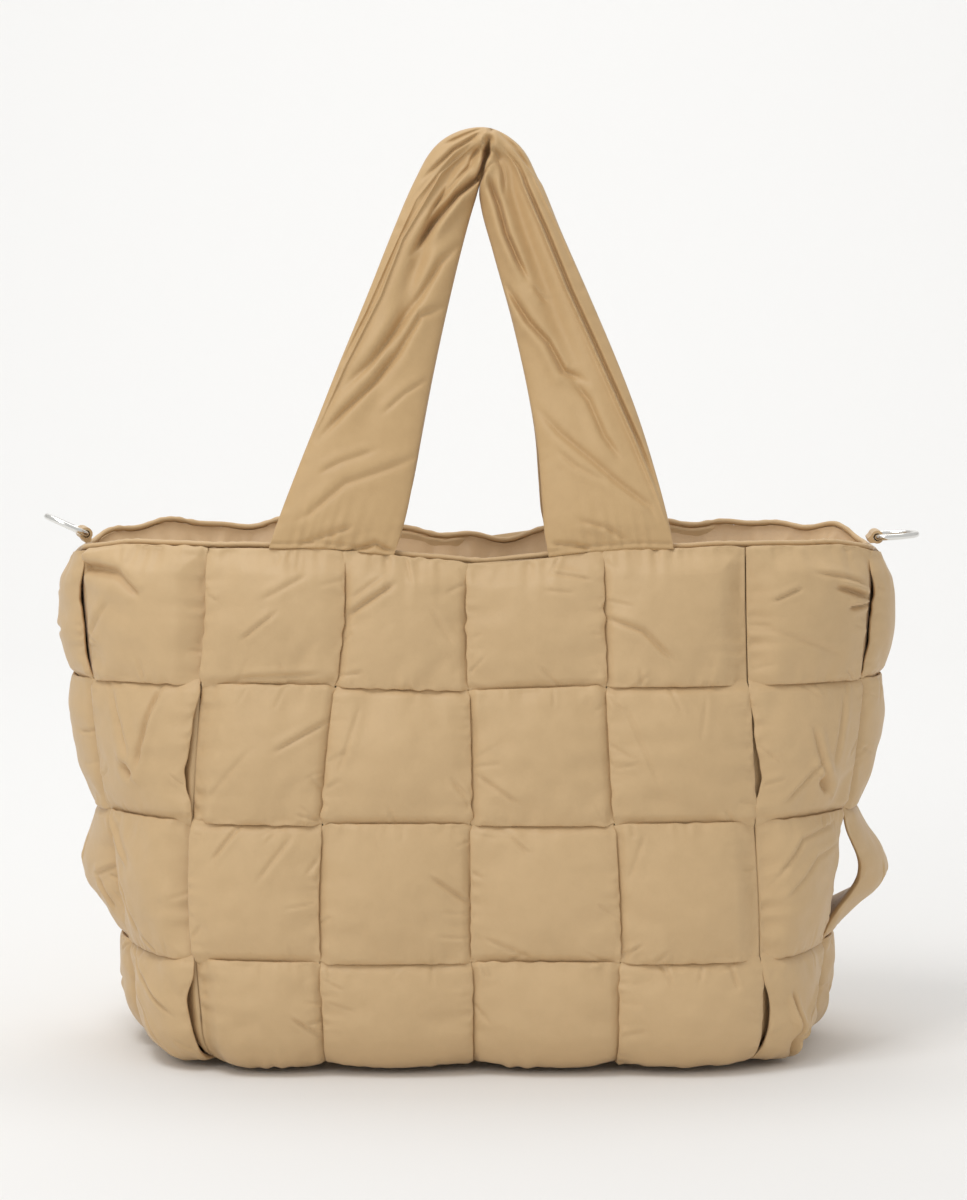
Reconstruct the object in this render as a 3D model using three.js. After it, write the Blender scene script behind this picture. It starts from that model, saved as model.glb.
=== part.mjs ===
// A woven tote bag of padded nylon strips, standing on its base with both handles up.
// Upright strips and level bands pass over and under each other, like a basket, in four panels that are
// sewn together at the corners. A thin lining with a rolled rim hem hangs inside, a padded panel closes
// the base, two wide soft handles meet above the mouth, and a D-ring swings in a cloth tab at each end.
// Millimetres, +Z up, the front faces -Y. The origin is on the ground under the middle of the bag.

import * as THREE from 'three';

// Driving sizes of the woven body
const STRIP_PITCH = 82; // width that one upright strip takes
const ROW_PITCH = 82; // height that one band takes
const FOOT_ROW_HEIGHT = 73; // the lowest band is taken in where it turns under the base
const FRONT_STRIPS = 4;
const SIDE_STRIPS = 3;
const ROWS = 4;
const RIM_HEIGHT = 316; // from the ground to the top of the woven wall
const RIM_SAG = 9; // how far the mouth dips between the two legs of a handle
const RIM_SAG_REACH = 62;
const END_SAG = 9; // how far it dips at each end of the bag
const END_SAG_REACH = 50;
const SAG_FADE = 130; // both dips have faded out this far down the wall
const FOOT_RADIUS = 20; // of the wall's middle where it turns under the base
const GROUND_LIFT = 8.5; // of the wall's middle above the ground, under the base

// Padding of the strips
const PAD = 5.4; // half of a strip's thickness towards its neighbours
const PUFF = 3.2; // how much further an uppermost strip swells outwards
const LAYER = 5.8; // from the middle of the wall to the middle of a strip
const EDGE = 0.7; // half of a strip's thickness along its folded edges
const PINCH = 0.62; // share of the padding that is squeezed out where a strip dives
const DIVE = 12; // length over which a strip passes from over to under, each way
const SEAM_RISE = 17; // length over which a strip swells from a seam
const SEAM_PAD = 1.1; // half of its thickness at a sewn end
const SEAM_LAYER = 1.3; // from the middle of the wall to the middle of a strip at a seam
const GAP = 0.8; // between neighbouring strips, and between a strip's end and the seam's middle

// Lining, hem and base
const LINING_WALL = 1.5;
const LINING_BEHIND = 15.4; // from the middle of the wall to the lining's outer face
const LINING_TOP_BEHIND = 4.2; // the same at its top edge
const LINING_TOP = 0.1; // below the rim
const HEM_MIDDLE = -3.6; // of the rolled hem, outwards from the middle of the wall
const HEM_THICKNESS = 6.4;
const HEM_FOOT = 0.2; // above the rim
const HEM_RISE = 4.5; // height of its top above the rim
const BASE_GAP = 6.5;
const BASE_THICKNESS = 13;
const BASE_EDGE = 2.4;

// Handles
const STRAP_WIDTH = 75;
const STRAP_THICKNESS = 15;
const HANDLE_RISE = 236; // from the rim to the middle of the strap at the apex
const HANDLE_SPREAD = 168; // between the middles of a handle's two legs at the rim
const APEX_GAP = 0.8; // between the two handles where they lean together
const HANDLE_LIFT = 0.3; // of the sewn end above the strips
const HANDLE_OUT = 2.4; // of the sewn end from the middle of the wall

// End fittings
const RING_WIRE = 3.8; // diameter
const RING_WIDTH = 31; // outside, along the straight bar
const RING_REACH = 29; // outside, from the bar to the top of the bow
const RING_CORNER = 5.5; // bend radius of the wire's middle at the ends of the bar
const TAB_WIDTH = 19;
const TAB_CLOTH = 1.6;
const TAB_HOLE_CLEARANCE = 0.55;
const TAB_STEM = 5.5; // from the hem to the middle of the bar
const TAB_GAP = 0.68; // between the hem and the tab
const RINGS = [
  // how far the tab leans outwards from upright, the bow rises from level and the tab is turned, in degrees
  { name: 'right', side: 1, lean: 66, raised: 3, turned: 0 },
  { name: 'left', side: -1, lean: 15, raised: 25, turned: 14 },
];

// The wall's plan at each level, which is given in rows down from the rim. Half the width of an end
// panel is the unit for depth and reach. Corner is where the front panel ends, shoulder is one strip
// further round, and end is the far end of the bag. Depth is from the middle of the bag to the front,
// reach is outwards from the corner, and frontWidth is a share of the front panel's half width.
const LEVELS = [
  { down: 0, frontWidth: 1.0, bulge: 0.05, cornerDepth: 0.61,
    shoulderReach: 0.6, shoulderDepth: 0.325, endReach: 0.67 },
  { down: 1, frontWidth: 1.0, bulge: 0.07, cornerDepth: 0.7,
    shoulderReach: 0.55, shoulderDepth: 0.325, endReach: 0.65 },
  { down: 2, frontWidth: 1.005, bulge: 0.08, cornerDepth: 0.78,
    shoulderReach: 0.46, shoulderDepth: 0.325, endReach: 0.53 },
  { down: 3, frontWidth: 1.01, bulge: 0.06, cornerDepth: 0.84,
    shoulderReach: 0.35, shoulderDepth: 0.31, endReach: 0.4 },
  { down: 4, frontWidth: 0.995, bulge: 0.05, cornerDepth: 0.82,
    shoulderReach: 0.26, shoulderDepth: 0.31, endReach: 0.29 },
];
const BASE_RING = {
  frontWidth: 0.95, bulge: 0.04, cornerDepth: 0.66, shoulderReach: 0.13, shoulderDepth: 0.3, endReach: 0.18,
};

// Loose lengths of strip that stand away from the wall: column and row count from 0, bulge is in
// strip pitches and narrow is the share of the width that is folded away.
const LOOPS = [
  { panel: 'right', column: 1, row: 2, bulge: 0.24, narrow: 0.45 },
  { panel: 'left', column: 1, row: 2, bulge: 0.11, narrow: 0.25 },
];

// A handle's two legs from their sewn ends to the apex. Rise is a share of the handle's rise. Left and
// right say how far each leg lies from the bag's middle, in halves of the spread. Width and thickness
// are shares of the strap's, lean is how far it has come from the rim to the middle of the bag, fold
// is the depth of its lengthwise fold in strap thicknesses, and square is 1 where the section lies
// level and 0 where it lies across the strap's own line.
const LEGS = [
  { rise: 0.0, left: 1.04, right: 0.96, width: 1.0, thickness: 0.16, lean: 0.0, fold: 0, square: 1 },
  { rise: 0.022, left: 1.02, right: 0.95, width: 1.0, thickness: 0.22, lean: 0.0, fold: 0, square: 1 },
  { rise: 0.06, left: 0.985, right: 0.93, width: 1.0, thickness: 0.85, lean: 0.045, fold: 0, square: 1 },
  { rise: 0.14, left: 0.91, right: 0.89, width: 0.95, thickness: 1.05, lean: 0.12, fold: 0, square: 0.7 },
  { rise: 0.28, left: 0.79, right: 0.81, width: 0.85, thickness: 1.15, lean: 0.26, fold: 0.05, square: 0.3 },
  { rise: 0.43, left: 0.664, right: 0.69, width: 0.76, thickness: 1.3, lean: 0.42, fold: 0.2, square: 0 },
  { rise: 0.6, left: 0.516, right: 0.535, width: 0.66, thickness: 1.45, lean: 0.59, fold: 0.35, square: 0 },
  { rise: 0.77, left: 0.365, right: 0.365, width: 0.58, thickness: 1.55, lean: 0.76, fold: 0.4, square: 0 },
  { rise: 0.9, left: 0.235, right: 0.245, width: 0.52, thickness: 1.6, lean: 0.9, fold: 0.38, square: 0 },
];
// The same over the top, from left to right. At is how far the section lies right of the bag's middle.
const CROWN = [
  { rise: 0.973, at: -0.13, width: 0.47, thickness: 1.55, lean: 0.97, fold: 0.3 },
  { rise: 1.0, at: 0.05, width: 0.42, thickness: 1.45, lean: 1, fold: 0.4 },
  { rise: 0.975, at: 0.2, width: 0.37, thickness: 1.5, lean: 0.97, fold: 0.3 },
];

// Facets
const FOOT_STEPS = 3; // in which the wall turns under the base
const RING_SIDES = 8;
const RING_BOW_STEPS = 12;
const TAB_STEPS = 12;

const frontHalf = (FRONT_STRIPS * STRIP_PITCH) / 2;
const endHalf = (SIDE_STRIPS * STRIP_PITCH) / 2;
const girthHalf = 2 * (frontHalf + endHalf); // from the front's middle round one end to the back's middle
const wallLength = (ROWS - 1) * ROW_PITCH + FOOT_ROW_HEIGHT;
const uprightLength = RIM_HEIGHT - GROUND_LIFT - FOOT_RADIUS;
const rowTops = Array.from({ length: ROWS + 1 }, (_, i) => (i < ROWS ? i * ROW_PITCH : wallLength));
const footTurn = wallLength - uprightLength;

const PADDED = new THREE.MeshStandardMaterial({ color: 0xc3a67c, roughness: 0.55, metalness: 0 });
const HANDLE = new THREE.MeshStandardMaterial({ color: 0xc3a67c, roughness: 0.5, metalness: 0 });
const LINING = new THREE.MeshStandardMaterial({ color: 0xb3946a, roughness: 0.6, metalness: 0 });
const STEEL = new THREE.MeshStandardMaterial({ color: 0xd9d8d2, roughness: 0.18, metalness: 1 });

const smooth = (t) => {
  const c = Math.min(1, Math.max(0, t));
  return c * c * (3 - 2 * c);
};

// A curve through (at[i], value[i]) whose slope at each knot is that between its neighbours.
function through(at, value, x) {
  const last = at.length - 1;
  let i = 0;
  while (i < last - 1 && x > at[i + 1]) i += 1;
  const slope = (k) => {
    const a = Math.max(0, k - 1);
    const b = Math.min(last, k + 1);
    return (value[b] - value[a]) / (at[b] - at[a]);
  };
  const step = at[i + 1] - at[i];
  const t = (x - at[i]) / step;
  const rest = 1 - t;
  return value[i] * (1 + 2 * t) * rest * rest + value[i + 1] * t * t * (3 - 2 * t)
    + step * t * rest * (slope(i) * rest - slope(i + 1) * t);
}

// The five knots of a quarter of the plan, from the front's middle to the bag's end, at one level.
function quarter(level) {
  const corner = frontHalf * level.frontWidth;
  return {
    x: [0, corner, corner + level.shoulderReach * endHalf, corner + level.endReach * endHalf],
    y: [
      -(level.cornerDepth + level.bulge) * endHalf,
      -level.cornerDepth * endHalf,
      -level.shoulderDepth * endHalf,
      0,
    ],
  };
}

// The plan at one level: the place that lies round mm along the girth from the front's middle.
function plan(level, round) {
  const q = quarter(level);
  const stops = [0, frontHalf, frontHalf + STRIP_PITCH, frontHalf + endHalf];
  const whole = 2 * girthHalf;
  const wrapped = ((((round + girthHalf) % whole) + whole) % whole) - girthHalf;
  const side = Math.sign(wrapped) || 1;
  const away = Math.abs(wrapped);
  // knots from the opposite end over the front's middle, round this end and past the back's middle
  const wholeRound = (list, before, after, beyond) => [
    ...list.slice(1).reverse().map(before),
    ...list,
    ...list.slice(0, -1).reverse().map(after),
    ...list.slice(1).map(beyond),
  ];
  const same = (v) => v;
  const turned = (v) => -v;
  const at = wholeRound(stops, turned, (s) => girthHalf - s, (s) => girthHalf + s);
  const xs = wholeRound(q.x, turned, same, turned);
  const ys = wholeRound(q.y, same, turned, turned);
  return [side * through(at, xs, away), through(at, ys, away)];
}

const LEVEL_KEYS = ['frontWidth', 'bulge', 'cornerDepth', 'shoulderReach', 'shoulderDepth', 'endReach'];

// How far the mouth hangs down at a place this far round from the middle of the front.
function rimDip(round) {
  const away = Math.abs(round);
  const fromMiddle = Math.min(away, Math.abs(girthHalf - away));
  const fromEnd = Math.abs(away - girthHalf / 2);
  return RIM_SAG * Math.exp(-((fromMiddle / RIM_SAG_REACH) ** 2))
    + END_SAG * Math.exp(-((fromEnd / END_SAG_REACH) ** 2));
}

// The middle of the woven wall: round is mm along the girth, down is mm from the rim towards the base.
function middle(round, down) {
  const level = {};
  const at = LEVELS.map((l) => l.down * ROW_PITCH);
  for (const key of LEVEL_KEYS) {
    level[key] = through(at, LEVELS.map((l) => l[key]), Math.max(0, down));
  }
  const [x, y] = plan(level, round);
  const dip = rimDip(round) * (1 - smooth(down / SAG_FADE));
  if (down <= uprightLength) return new THREE.Vector3(x, y, RIM_HEIGHT - down - dip);
  const turn = ((down - uprightLength) / (wallLength - uprightLength)) * (Math.PI / 2);
  const [bx, by] = plan(BASE_RING, round);
  const inwards = 1 - Math.cos(Math.min(turn, Math.PI / 2));
  const z = GROUND_LIFT + FOOT_RADIUS * (1 - Math.sin(Math.min(turn, Math.PI / 2)));
  return new THREE.Vector3(x + (bx - x) * inwards, y + (by - y) * inwards, z);
}

// A point out from the middle of the wall along its normal. span is how far to either side the
// normal looks along the girth: a wide one rounds the corners of whatever lies behind the wall.
function wall(round, down, out, span = 1) {
  const step = 1;
  const below = Math.min(down, wallLength - step);
  const along = middle(round + span, below).sub(middle(round - span, below));
  const drop = middle(round, below + step).sub(middle(round, below - step));
  const normal = drop.cross(along).normalize();
  return middle(round, down).addScaledVector(normal, out);
}

// A closed solid from its corners and triangles, with its faces turned outwards.
function solid(name, corners, triangles, material) {
  let volume = 0;
  for (const [a, b, c] of triangles) volume += corners[a].dot(corners[b].clone().cross(corners[c]));
  const faces = volume < 0 ? triangles.map(([a, b, c]) => [a, c, b]) : triangles;
  const geometry = new THREE.BufferGeometry();
  const places = corners.flatMap((p) => p.toArray());
  geometry.setAttribute('position', new THREE.Float32BufferAttribute(places, 3));
  geometry.setIndex(faces.flat());
  geometry.computeVertexNormals();
  const mesh = new THREE.Mesh(geometry, material);
  mesh.name = name;
  return mesh;
}

// A solid lofted through closed sections of equal counts and joined into a ring, or closed at both
// ends by triangles that go to and fro between a section's two sides, so that they follow its bend.
function loft(name, sections, material, ring = false) {
  const size = sections[0].length;
  const corners = sections.flat();
  const triangles = [];
  const links = ring ? sections.length : sections.length - 1;
  for (let i = 0; i < links; i += 1) {
    const a = i * size;
    const b = ((i + 1) % sections.length) * size;
    for (let k = 0; k < size; k += 1) {
      const n = (k + 1) % size;
      triangles.push([a + k, a + n, b + n], [a + k, b + n, b + k]);
    }
  }
  if (!ring) {
    const end = (sections.length - 1) * size;
    for (let low = 0, high = size - 1; high - low > 1; low += 1, high -= 1) {
      triangles.push([low, high, low + 1], [end + low, end + low + 1, end + high]);
      if (high - low > 2) {
        triangles.push([low + 1, high, high - 1], [end + low + 1, end + high - 1, end + high]);
      }
    }
  }
  return solid(name, corners, triangles, material);
}

// How far a strip has swelled at a place that lies this far from the nearest seam, from 0 to 1.
const swell = (fromSeam) => smooth(fromSeam / SEAM_RISE);

// Where one strip runs across the others: stops are the crossing lines along it, over says for each
// cell whether it lies uppermost. It gives the layer of its middle, from -1 to 1, and how much of
// its padding is squeezed out.
function weave(stops, over, at) {
  let layer = over[0] ? 1 : -1;
  let squeeze = 0;
  for (let i = 1; i < stops.length - 1; i += 1) {
    const t = (at - stops[i]) / DIVE;
    const next = over[i] ? 1 : -1;
    if (t > -1) layer += (next - layer) * smooth((t + 1) / 2);
    squeeze = Math.max(squeeze, 1 - smooth(Math.abs(t)));
  }
  return { layer, squeeze };
}

// Lines across a strip's cell from one crossing line to the next. Strips that cross share them, so
// that the facets of both follow the same bends.
const cellLines = (from, to) => [from + DIVE, (from + to) / 2, to - DIVE];
const footLines = Array.from(
  { length: FOOT_STEPS - 1 },
  (_, i) => uprightLength + (footTurn * (i + 1)) / FOOT_STEPS,
);
const rowLines = (row) => (row < ROWS - 1
  ? cellLines(rowTops[row], rowTops[row + 1])
  : [rowTops[row] + DIVE, uprightLength, ...footLines]);

// One padded strip. stops are the crossing lines along it and lines the places where its section is
// taken, borders says which of its two long edges are sewn down, and facets are the places across
// it, in halves of its width. place(along, across, out) puts a point of it on the wall. Its section
// is a thin cushion that is full in the middle and folded flat along both edges.
function strip(name, { stops, lines, over, half, facets, borders, place, shape }) {
  const first = stops[0];
  const last = stops[stops.length - 1];
  const padAcross = (b) => Math.sqrt(Math.max(0, 1 - Math.abs(b) ** 2.6));
  const sections = lines.map((at) => {
    const { layer, squeeze } = weave(stops, over, at);
    const { bulge, keep } = shape ? shape(at) : { bulge: 0, keep: 1 };
    const fromEnd = Math.min(at - first, last - at);
    const point = (b, face) => {
      const fromFirst = borders[0] ? (1 + b) * half : Infinity;
      const fromSecond = borders[1] ? (1 - b) * half : Infinity;
      const swelled = swell(Math.min(fromEnd, fromFirst, fromSecond));
      const lift = layer * (SEAM_LAYER + (LAYER - SEAM_LAYER) * swelled) + bulge;
      const full = SEAM_PAD + (PAD * (1 - PINCH * squeeze) - SEAM_PAD) * swell(fromEnd)
        + (face > 0 ? PUFF * Math.max(0, layer) * (1 - squeeze) * swelled : 0);
      const pad = EDGE + Math.max(0, full - EDGE) * padAcross(b);
      return place(at, b * half * keep, lift + face * pad);
    };
    const top = facets.map((b) => point(b, 1));
    const under = [...facets].reverse().map((b) => point(b, -1));
    return [point(-1, 0), ...top, point(1, 0), ...under];
  });
  return loft(name, sections, PADDED);
}

// The four woven panels. start is where the panel begins along the girth. Its upright strip in
// column c lies over its band in row r when c + r + odd is even.
const PANELS = [
  { name: 'front', start: -frontHalf, columns: FRONT_STRIPS, odd: 0 },
  { name: 'right', start: frontHalf, columns: SIDE_STRIPS, odd: 1 },
  { name: 'back', start: girthHalf - frontHalf, columns: FRONT_STRIPS, odd: 0 },
  { name: 'left', start: -frontHalf - 2 * endHalf, columns: SIDE_STRIPS, odd: 1 },
];

function panelStrips(panel) {
  const made = [];
  const uprightOver = (column, row) => (column + row + panel.odd) % 2 === 0;
  const rows = Array.from({ length: ROWS }, (_, row) => row);
  const columns = Array.from({ length: panel.columns }, (_, column) => column);
  const columnEdges = [...columns, panel.columns].map((i) => panel.start + i * STRIP_PITCH);
  const columnLines = columns.flatMap((c) => [
    columnEdges[c],
    ...cellLines(columnEdges[c], columnEdges[c + 1]),
  ]);
  for (const column of columns) {
    const centre = (columnEdges[column] + columnEdges[column + 1]) / 2;
    const half = (STRIP_PITCH - GAP) / 2;
    const loop = LOOPS.find((l) => l.panel === panel.name && l.column === column);
    made.push(strip(`${panel.name}_upright_${column + 1}`, {
      stops: [GAP / 2, ...rowTops.slice(1, -1), wallLength - GAP / 2],
      lines: [GAP / 2, ...rows.flatMap((r) => [rowTops[r], ...rowLines(r)]).slice(1), wallLength - GAP / 2],
      over: rows.map((row) => uprightOver(column, row)),
      half,
      facets: [-1, 0, 1].map((i) => (i * (STRIP_PITCH / 2 - DIVE)) / half),
      borders: [false, false],
      place: (at, across, out) => wall(centre + across, at, out),
      shape: loop && ((at) => {
        const t = (at - rowTops[loop.row]) / (rowTops[loop.row + 1] - rowTops[loop.row]);
        const rise = t > 0 && t < 1 ? Math.sin(Math.PI * t) ** 2 : 0;
        return { bulge: loop.bulge * STRIP_PITCH * rise, keep: 1 - loop.narrow * rise };
      }),
    }));
  }
  for (const row of rows) {
    const middleLine = (rowTops[row] + rowTops[row + 1]) / 2;
    const half = (rowTops[row + 1] - rowTops[row] - GAP) / 2;
    const ends = [columnEdges[0] + GAP / 2, columnEdges[panel.columns] - GAP / 2];
    made.push(strip(`${panel.name}_band_${row + 1}`, {
      stops: [ends[0], ...columnEdges.slice(1, -1), ends[1]],
      lines: [ends[0], ...columnLines.slice(1), ends[1]],
      over: columns.map((column) => !uprightOver(column, row)),
      half,
      facets: rowLines(row).map((line) => (line - middleLine) / half),
      borders: [row === 0, row === ROWS - 1],
      place: (at, across, out) => wall(at, middleLine + across, out),
    }));
  }
  return made;
}

// Places round the whole girth for the lining, the hem and the base: each strip's edge and middle.
const girthPlaces = PANELS.flatMap(({ start, columns }) => Array.from(
  { length: columns * 2 },
  (_, i) => start + (i * STRIP_PITCH) / 2,
));

// The lining is a cup of thin cloth. It starts under the hem, hangs just inside the woven wall and
// lies on the base panel.
function liningCup() {
  const rounds = girthPlaces;
  const levels = [
    LINING_TOP, DIVE, ROW_PITCH / 2, ROW_PITCH, 2 * ROW_PITCH, 3 * ROW_PITCH, uprightLength, ...footLines,
  ];
  const shell = (depth) => {
    const rings = levels.map((down) => {
      const hang = smooth((down - LINING_TOP) / SEAM_RISE);
      const behind = LINING_TOP_BEHIND + (LINING_BEHIND - LINING_TOP_BEHIND) * hang;
      return rounds.map((round) => wall(round, down, -behind - depth, STRIP_PITCH / 2));
    });
    const floor = BASE_THICKNESS + GAP + depth;
    rings.push(rounds.map((round) => {
      const p = wall(round, wallLength, 0);
      return new THREE.Vector3(p.x * 0.6, p.y * 0.6, floor);
    }));
    return rings;
  };
  const outer = shell(0);
  const inner = shell(LINING_WALL);
  const size = rounds.length;
  const rings = [...outer.reverse(), ...inner]; // up the outside, over the top edge and down the inside
  const corners = [...rings.flat(), new THREE.Vector3(0, 0, BASE_THICKNESS + GAP),
    new THREE.Vector3(0, 0, BASE_THICKNESS + GAP + LINING_WALL)];
  const under = rings.length * size;
  const triangles = [];
  for (let i = 0; i < rings.length - 1; i += 1) {
    const a = i * size;
    const b = a + size;
    for (let k = 0; k < size; k += 1) {
      const n = (k + 1) % size;
      // both faces are split along the same diagonals, so that they stay a cloth's thickness apart
      if (i < outer.length) triangles.push([a + k, a + n, b + k], [a + n, b + n, b + k]);
      else triangles.push([a + k, a + n, b + n], [a + k, b + n, b + k]);
    }
  }
  const last = (rings.length - 1) * size;
  for (let k = 0; k < size; k += 1) {
    const n = (k + 1) % size;
    triangles.push([under, n, k], [under + 1, last + k, last + n]);
  }
  return solid('lining', corners, triangles, LINING);
}

// The rolled hem that runs round the mouth on top of the lining.
function rimHem() {
  const half = HEM_THICKNESS / 2;
  const shoulder = HEM_RISE - 2;
  const shape = [[-0.85, HEM_FOOT], [-1, shoulder], [0, HEM_RISE], [1, shoulder], [0.85, HEM_FOOT]];
  const sections = girthPlaces.map((round) => {
    return shape.map(([across, up]) => {
      const p = wall(round, 0, HEM_MIDDLE + across * half);
      p.z += up;
      return p;
    });
  });
  return loft('rim_hem', sections, LINING, true);
}

// The padded base panel: a low cushion inside the ends of the strips, flat where it stands.
function basePanel() {
  const outline = girthPlaces.map((round) => {
    const p = wall(round, wallLength, 0);
    return p.multiplyScalar(1 - BASE_GAP / Math.hypot(p.x, p.y));
  });
  const ring = (share, z) => outline.map((p) => new THREE.Vector3(p.x * share, p.y * share, z));
  const rings = [
    ring(0.86, 0),
    ring(1, GROUND_LIFT - BASE_EDGE / 2),
    ring(1, GROUND_LIFT + BASE_EDGE / 2),
    ring(0.84, BASE_THICKNESS),
  ];
  return loft('base_panel', rings, PADDED);
}

// One handle. facing is -1 for the handle on the front rim and 1 for the one on the back rim.
function handle(name, facing) {
  const spread = HANDLE_SPREAD / 2;
  const reach = (STRAP_THICKNESS * Math.max(...LEGS.map((l) => l.thickness)) + APEX_GAP) / 2;
  const foot = RIM_HEIGHT + HANDLE_LIFT;
  const rim = (at) => wall(spread * at, 0, HANDLE_OUT).y;
  const station = (row, at, rimY) => ({
    square: 0,
    ...row,
    point: new THREE.Vector3(
      spread * at,
      facing * (-rimY + (reach + rimY) * row.lean),
      foot + HANDLE_RISE * row.rise,
    ),
  });
  const stations = [
    ...LEGS.map((row) => station(row, -row.left, rim(-LEGS[0].left))),
    ...CROWN.map((row) => station(row, row.at, rim(0))),
    ...LEGS.map((row) => station(row, row.right, rim(LEGS[0].right))).reverse(),
  ];
  const sections = stations.map((s, i) => {
    const before = stations[Math.max(0, i - 1)].point;
    const after = stations[Math.min(stations.length - 1, i + 1)].point;
    const along = after.clone().sub(before).normalize();
    const out = new THREE.Vector3(0, facing, 0);
    const acrossStrap = out.clone().cross(along).normalize().multiplyScalar(-facing);
    const level = new THREE.Vector3(Math.sign(acrossStrap.x) || 1, 0, 0);
    const across = acrossStrap.clone().lerp(level, s.square).normalize();
    const face = across.clone().cross(along).normalize();
    if (face.y * facing < 0) face.negate();
    const half = (STRAP_WIDTH * s.width) / 2;
    const pad = (STRAP_THICKNESS * s.thickness) / 2;
    const put = (a, b) => {
      const p = s.point.clone().addScaledVector(across, a * half).addScaledVector(face, b * pad);
      p.z -= rimDip(p.x) * s.square;
      return p;
    };
    const valley = 1 - (2 * s.fold) / s.thickness;
    return [put(-1, 0), put(-0.75, 0.8), put(-0.3, 1), put(0.05, valley), put(0.35, 1), put(0.8, 0.75),
      put(1, 0), put(0.7, -0.85), put(0, -1), put(-0.7, -0.85)];
  });
  return loft(name, sections, HANDLE);
}

// A D-ring of round wire and its cloth tab, in their own frame: the bar runs along Y through the
// origin, the bow points along +X and the tab's stem runs down to the hem.
function ringWire(name) {
  const half = (RING_WIDTH - RING_WIRE) / 2;
  const straight = half - RING_CORNER;
  const reach = RING_REACH - RING_WIRE;
  const path = [];
  const cornerSteps = 3;
  path.push(new THREE.Vector3(0, -straight, 0));
  path.push(new THREE.Vector3(0, straight, 0));
  for (let i = 1; i <= cornerSteps; i += 1) {
    const a = (i / cornerSteps) * (Math.PI / 2);
    path.push(new THREE.Vector3(RING_CORNER * (1 - Math.cos(a)), straight + RING_CORNER * Math.sin(a), 0));
  }
  for (let i = 1; i < RING_BOW_STEPS; i += 1) {
    const a = (i / RING_BOW_STEPS) * Math.PI;
    path.push(new THREE.Vector3(RING_CORNER + (reach - RING_CORNER) * Math.sin(a), half * Math.cos(a), 0));
  }
  for (let i = cornerSteps; i >= 1; i -= 1) {
    const a = (i / cornerSteps) * (Math.PI / 2);
    path.push(new THREE.Vector3(RING_CORNER * (1 - Math.cos(a)), -straight - RING_CORNER * Math.sin(a), 0));
  }
  const sections = path.map((p, i) => {
    const before = path[(i + path.length - 1) % path.length];
    const after = path[(i + 1) % path.length];
    const along = after.clone().sub(before).normalize();
    const up = new THREE.Vector3(0, 0, 1);
    const out = along.clone().cross(up).normalize();
    return Array.from({ length: RING_SIDES }, (_, k) => {
      const a = (2 * Math.PI * (k + 0.5)) / RING_SIDES;
      const across = (Math.cos(a) * RING_WIRE) / 2;
      return p.clone().addScaledVector(out, across).addScaledVector(up, (Math.sin(a) * RING_WIRE) / 2);
    });
  });
  return loft(name, sections, STEEL, true);
}

// The tab is one strip of cloth, wrapped round the bar, with both ends laid together and sewn down.
function ringTab(name) {
  const hole = RING_WIRE / 2 + TAB_HOLE_CLEARANCE;
  const out = hole + TAB_CLOTH;
  const stem = TAB_STEM;
  const profile = [];
  for (let i = 0; i <= TAB_STEPS; i += 1) {
    const a = -Math.PI * 0.28 + (i / TAB_STEPS) * Math.PI * 1.56;
    profile.push([out * Math.cos(a), out * Math.sin(a)]);
  }
  profile.push([-TAB_CLOTH, -stem], [TAB_CLOTH, -stem]);
  const shape = new THREE.Shape(profile.map(([x, z]) => new THREE.Vector2(x, z)));
  const bore = new THREE.Path();
  bore.absarc(0, 0, hole, 0, 2 * Math.PI, true);
  shape.holes.push(bore);
  const geometry = new THREE.ExtrudeGeometry(shape, {
    depth: TAB_WIDTH,
    bevelEnabled: false,
    curveSegments: TAB_STEPS / 2,
  });
  geometry.rotateX(Math.PI / 2);
  geometry.translate(0, TAB_WIDTH / 2, 0);
  const mesh = new THREE.Mesh(geometry, PADDED);
  mesh.name = name;
  return mesh;
}

function endFitting({ name, side, lean, raised, turned }) {
  const end = wall(side * (frontHalf + endHalf), 0, HEM_MIDDLE);
  const tilt = THREE.MathUtils.degToRad(lean);
  const mount = new THREE.Group();
  mount.position.set(
    end.x + side * TAB_STEM * Math.sin(tilt),
    end.y,
    end.z + HEM_RISE + TAB_GAP + TAB_STEM * Math.cos(tilt) + TAB_CLOTH * Math.sin(tilt),
  );
  mount.rotation.z = THREE.MathUtils.degToRad((side > 0 ? 0 : 180) + turned);
  const ring = ringWire(`${name}_d_ring`);
  ring.rotation.y = -THREE.MathUtils.degToRad(raised);
  const tab = ringTab(`${name}_ring_tab`);
  tab.rotation.y = tilt;
  mount.add(ring, tab);
  return mount;
}

const bag = new THREE.Group();
for (const panel of PANELS) bag.add(...panelStrips(panel));
bag.add(liningCup(), rimHem(), basePanel());
bag.add(handle('front_handle', -1), handle('back_handle', 1));
for (const fitting of RINGS) bag.add(endFitting(fitting));

export default bag;
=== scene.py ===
# %% [markdown]
# # A woven tote bag of padded nylon
#
# The bag is woven like a basket: soft padded strips run up and down and round about, over and
# under each other, in four panels. Two wide padded handles lean together above the mouth, a thin
# lining hangs inside, and a small D-ring sits in a cloth tab at each end. This file dresses a
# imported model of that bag. It starts by loading the model, whose solids say how much room each
# piece has.

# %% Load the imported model
import math

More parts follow.
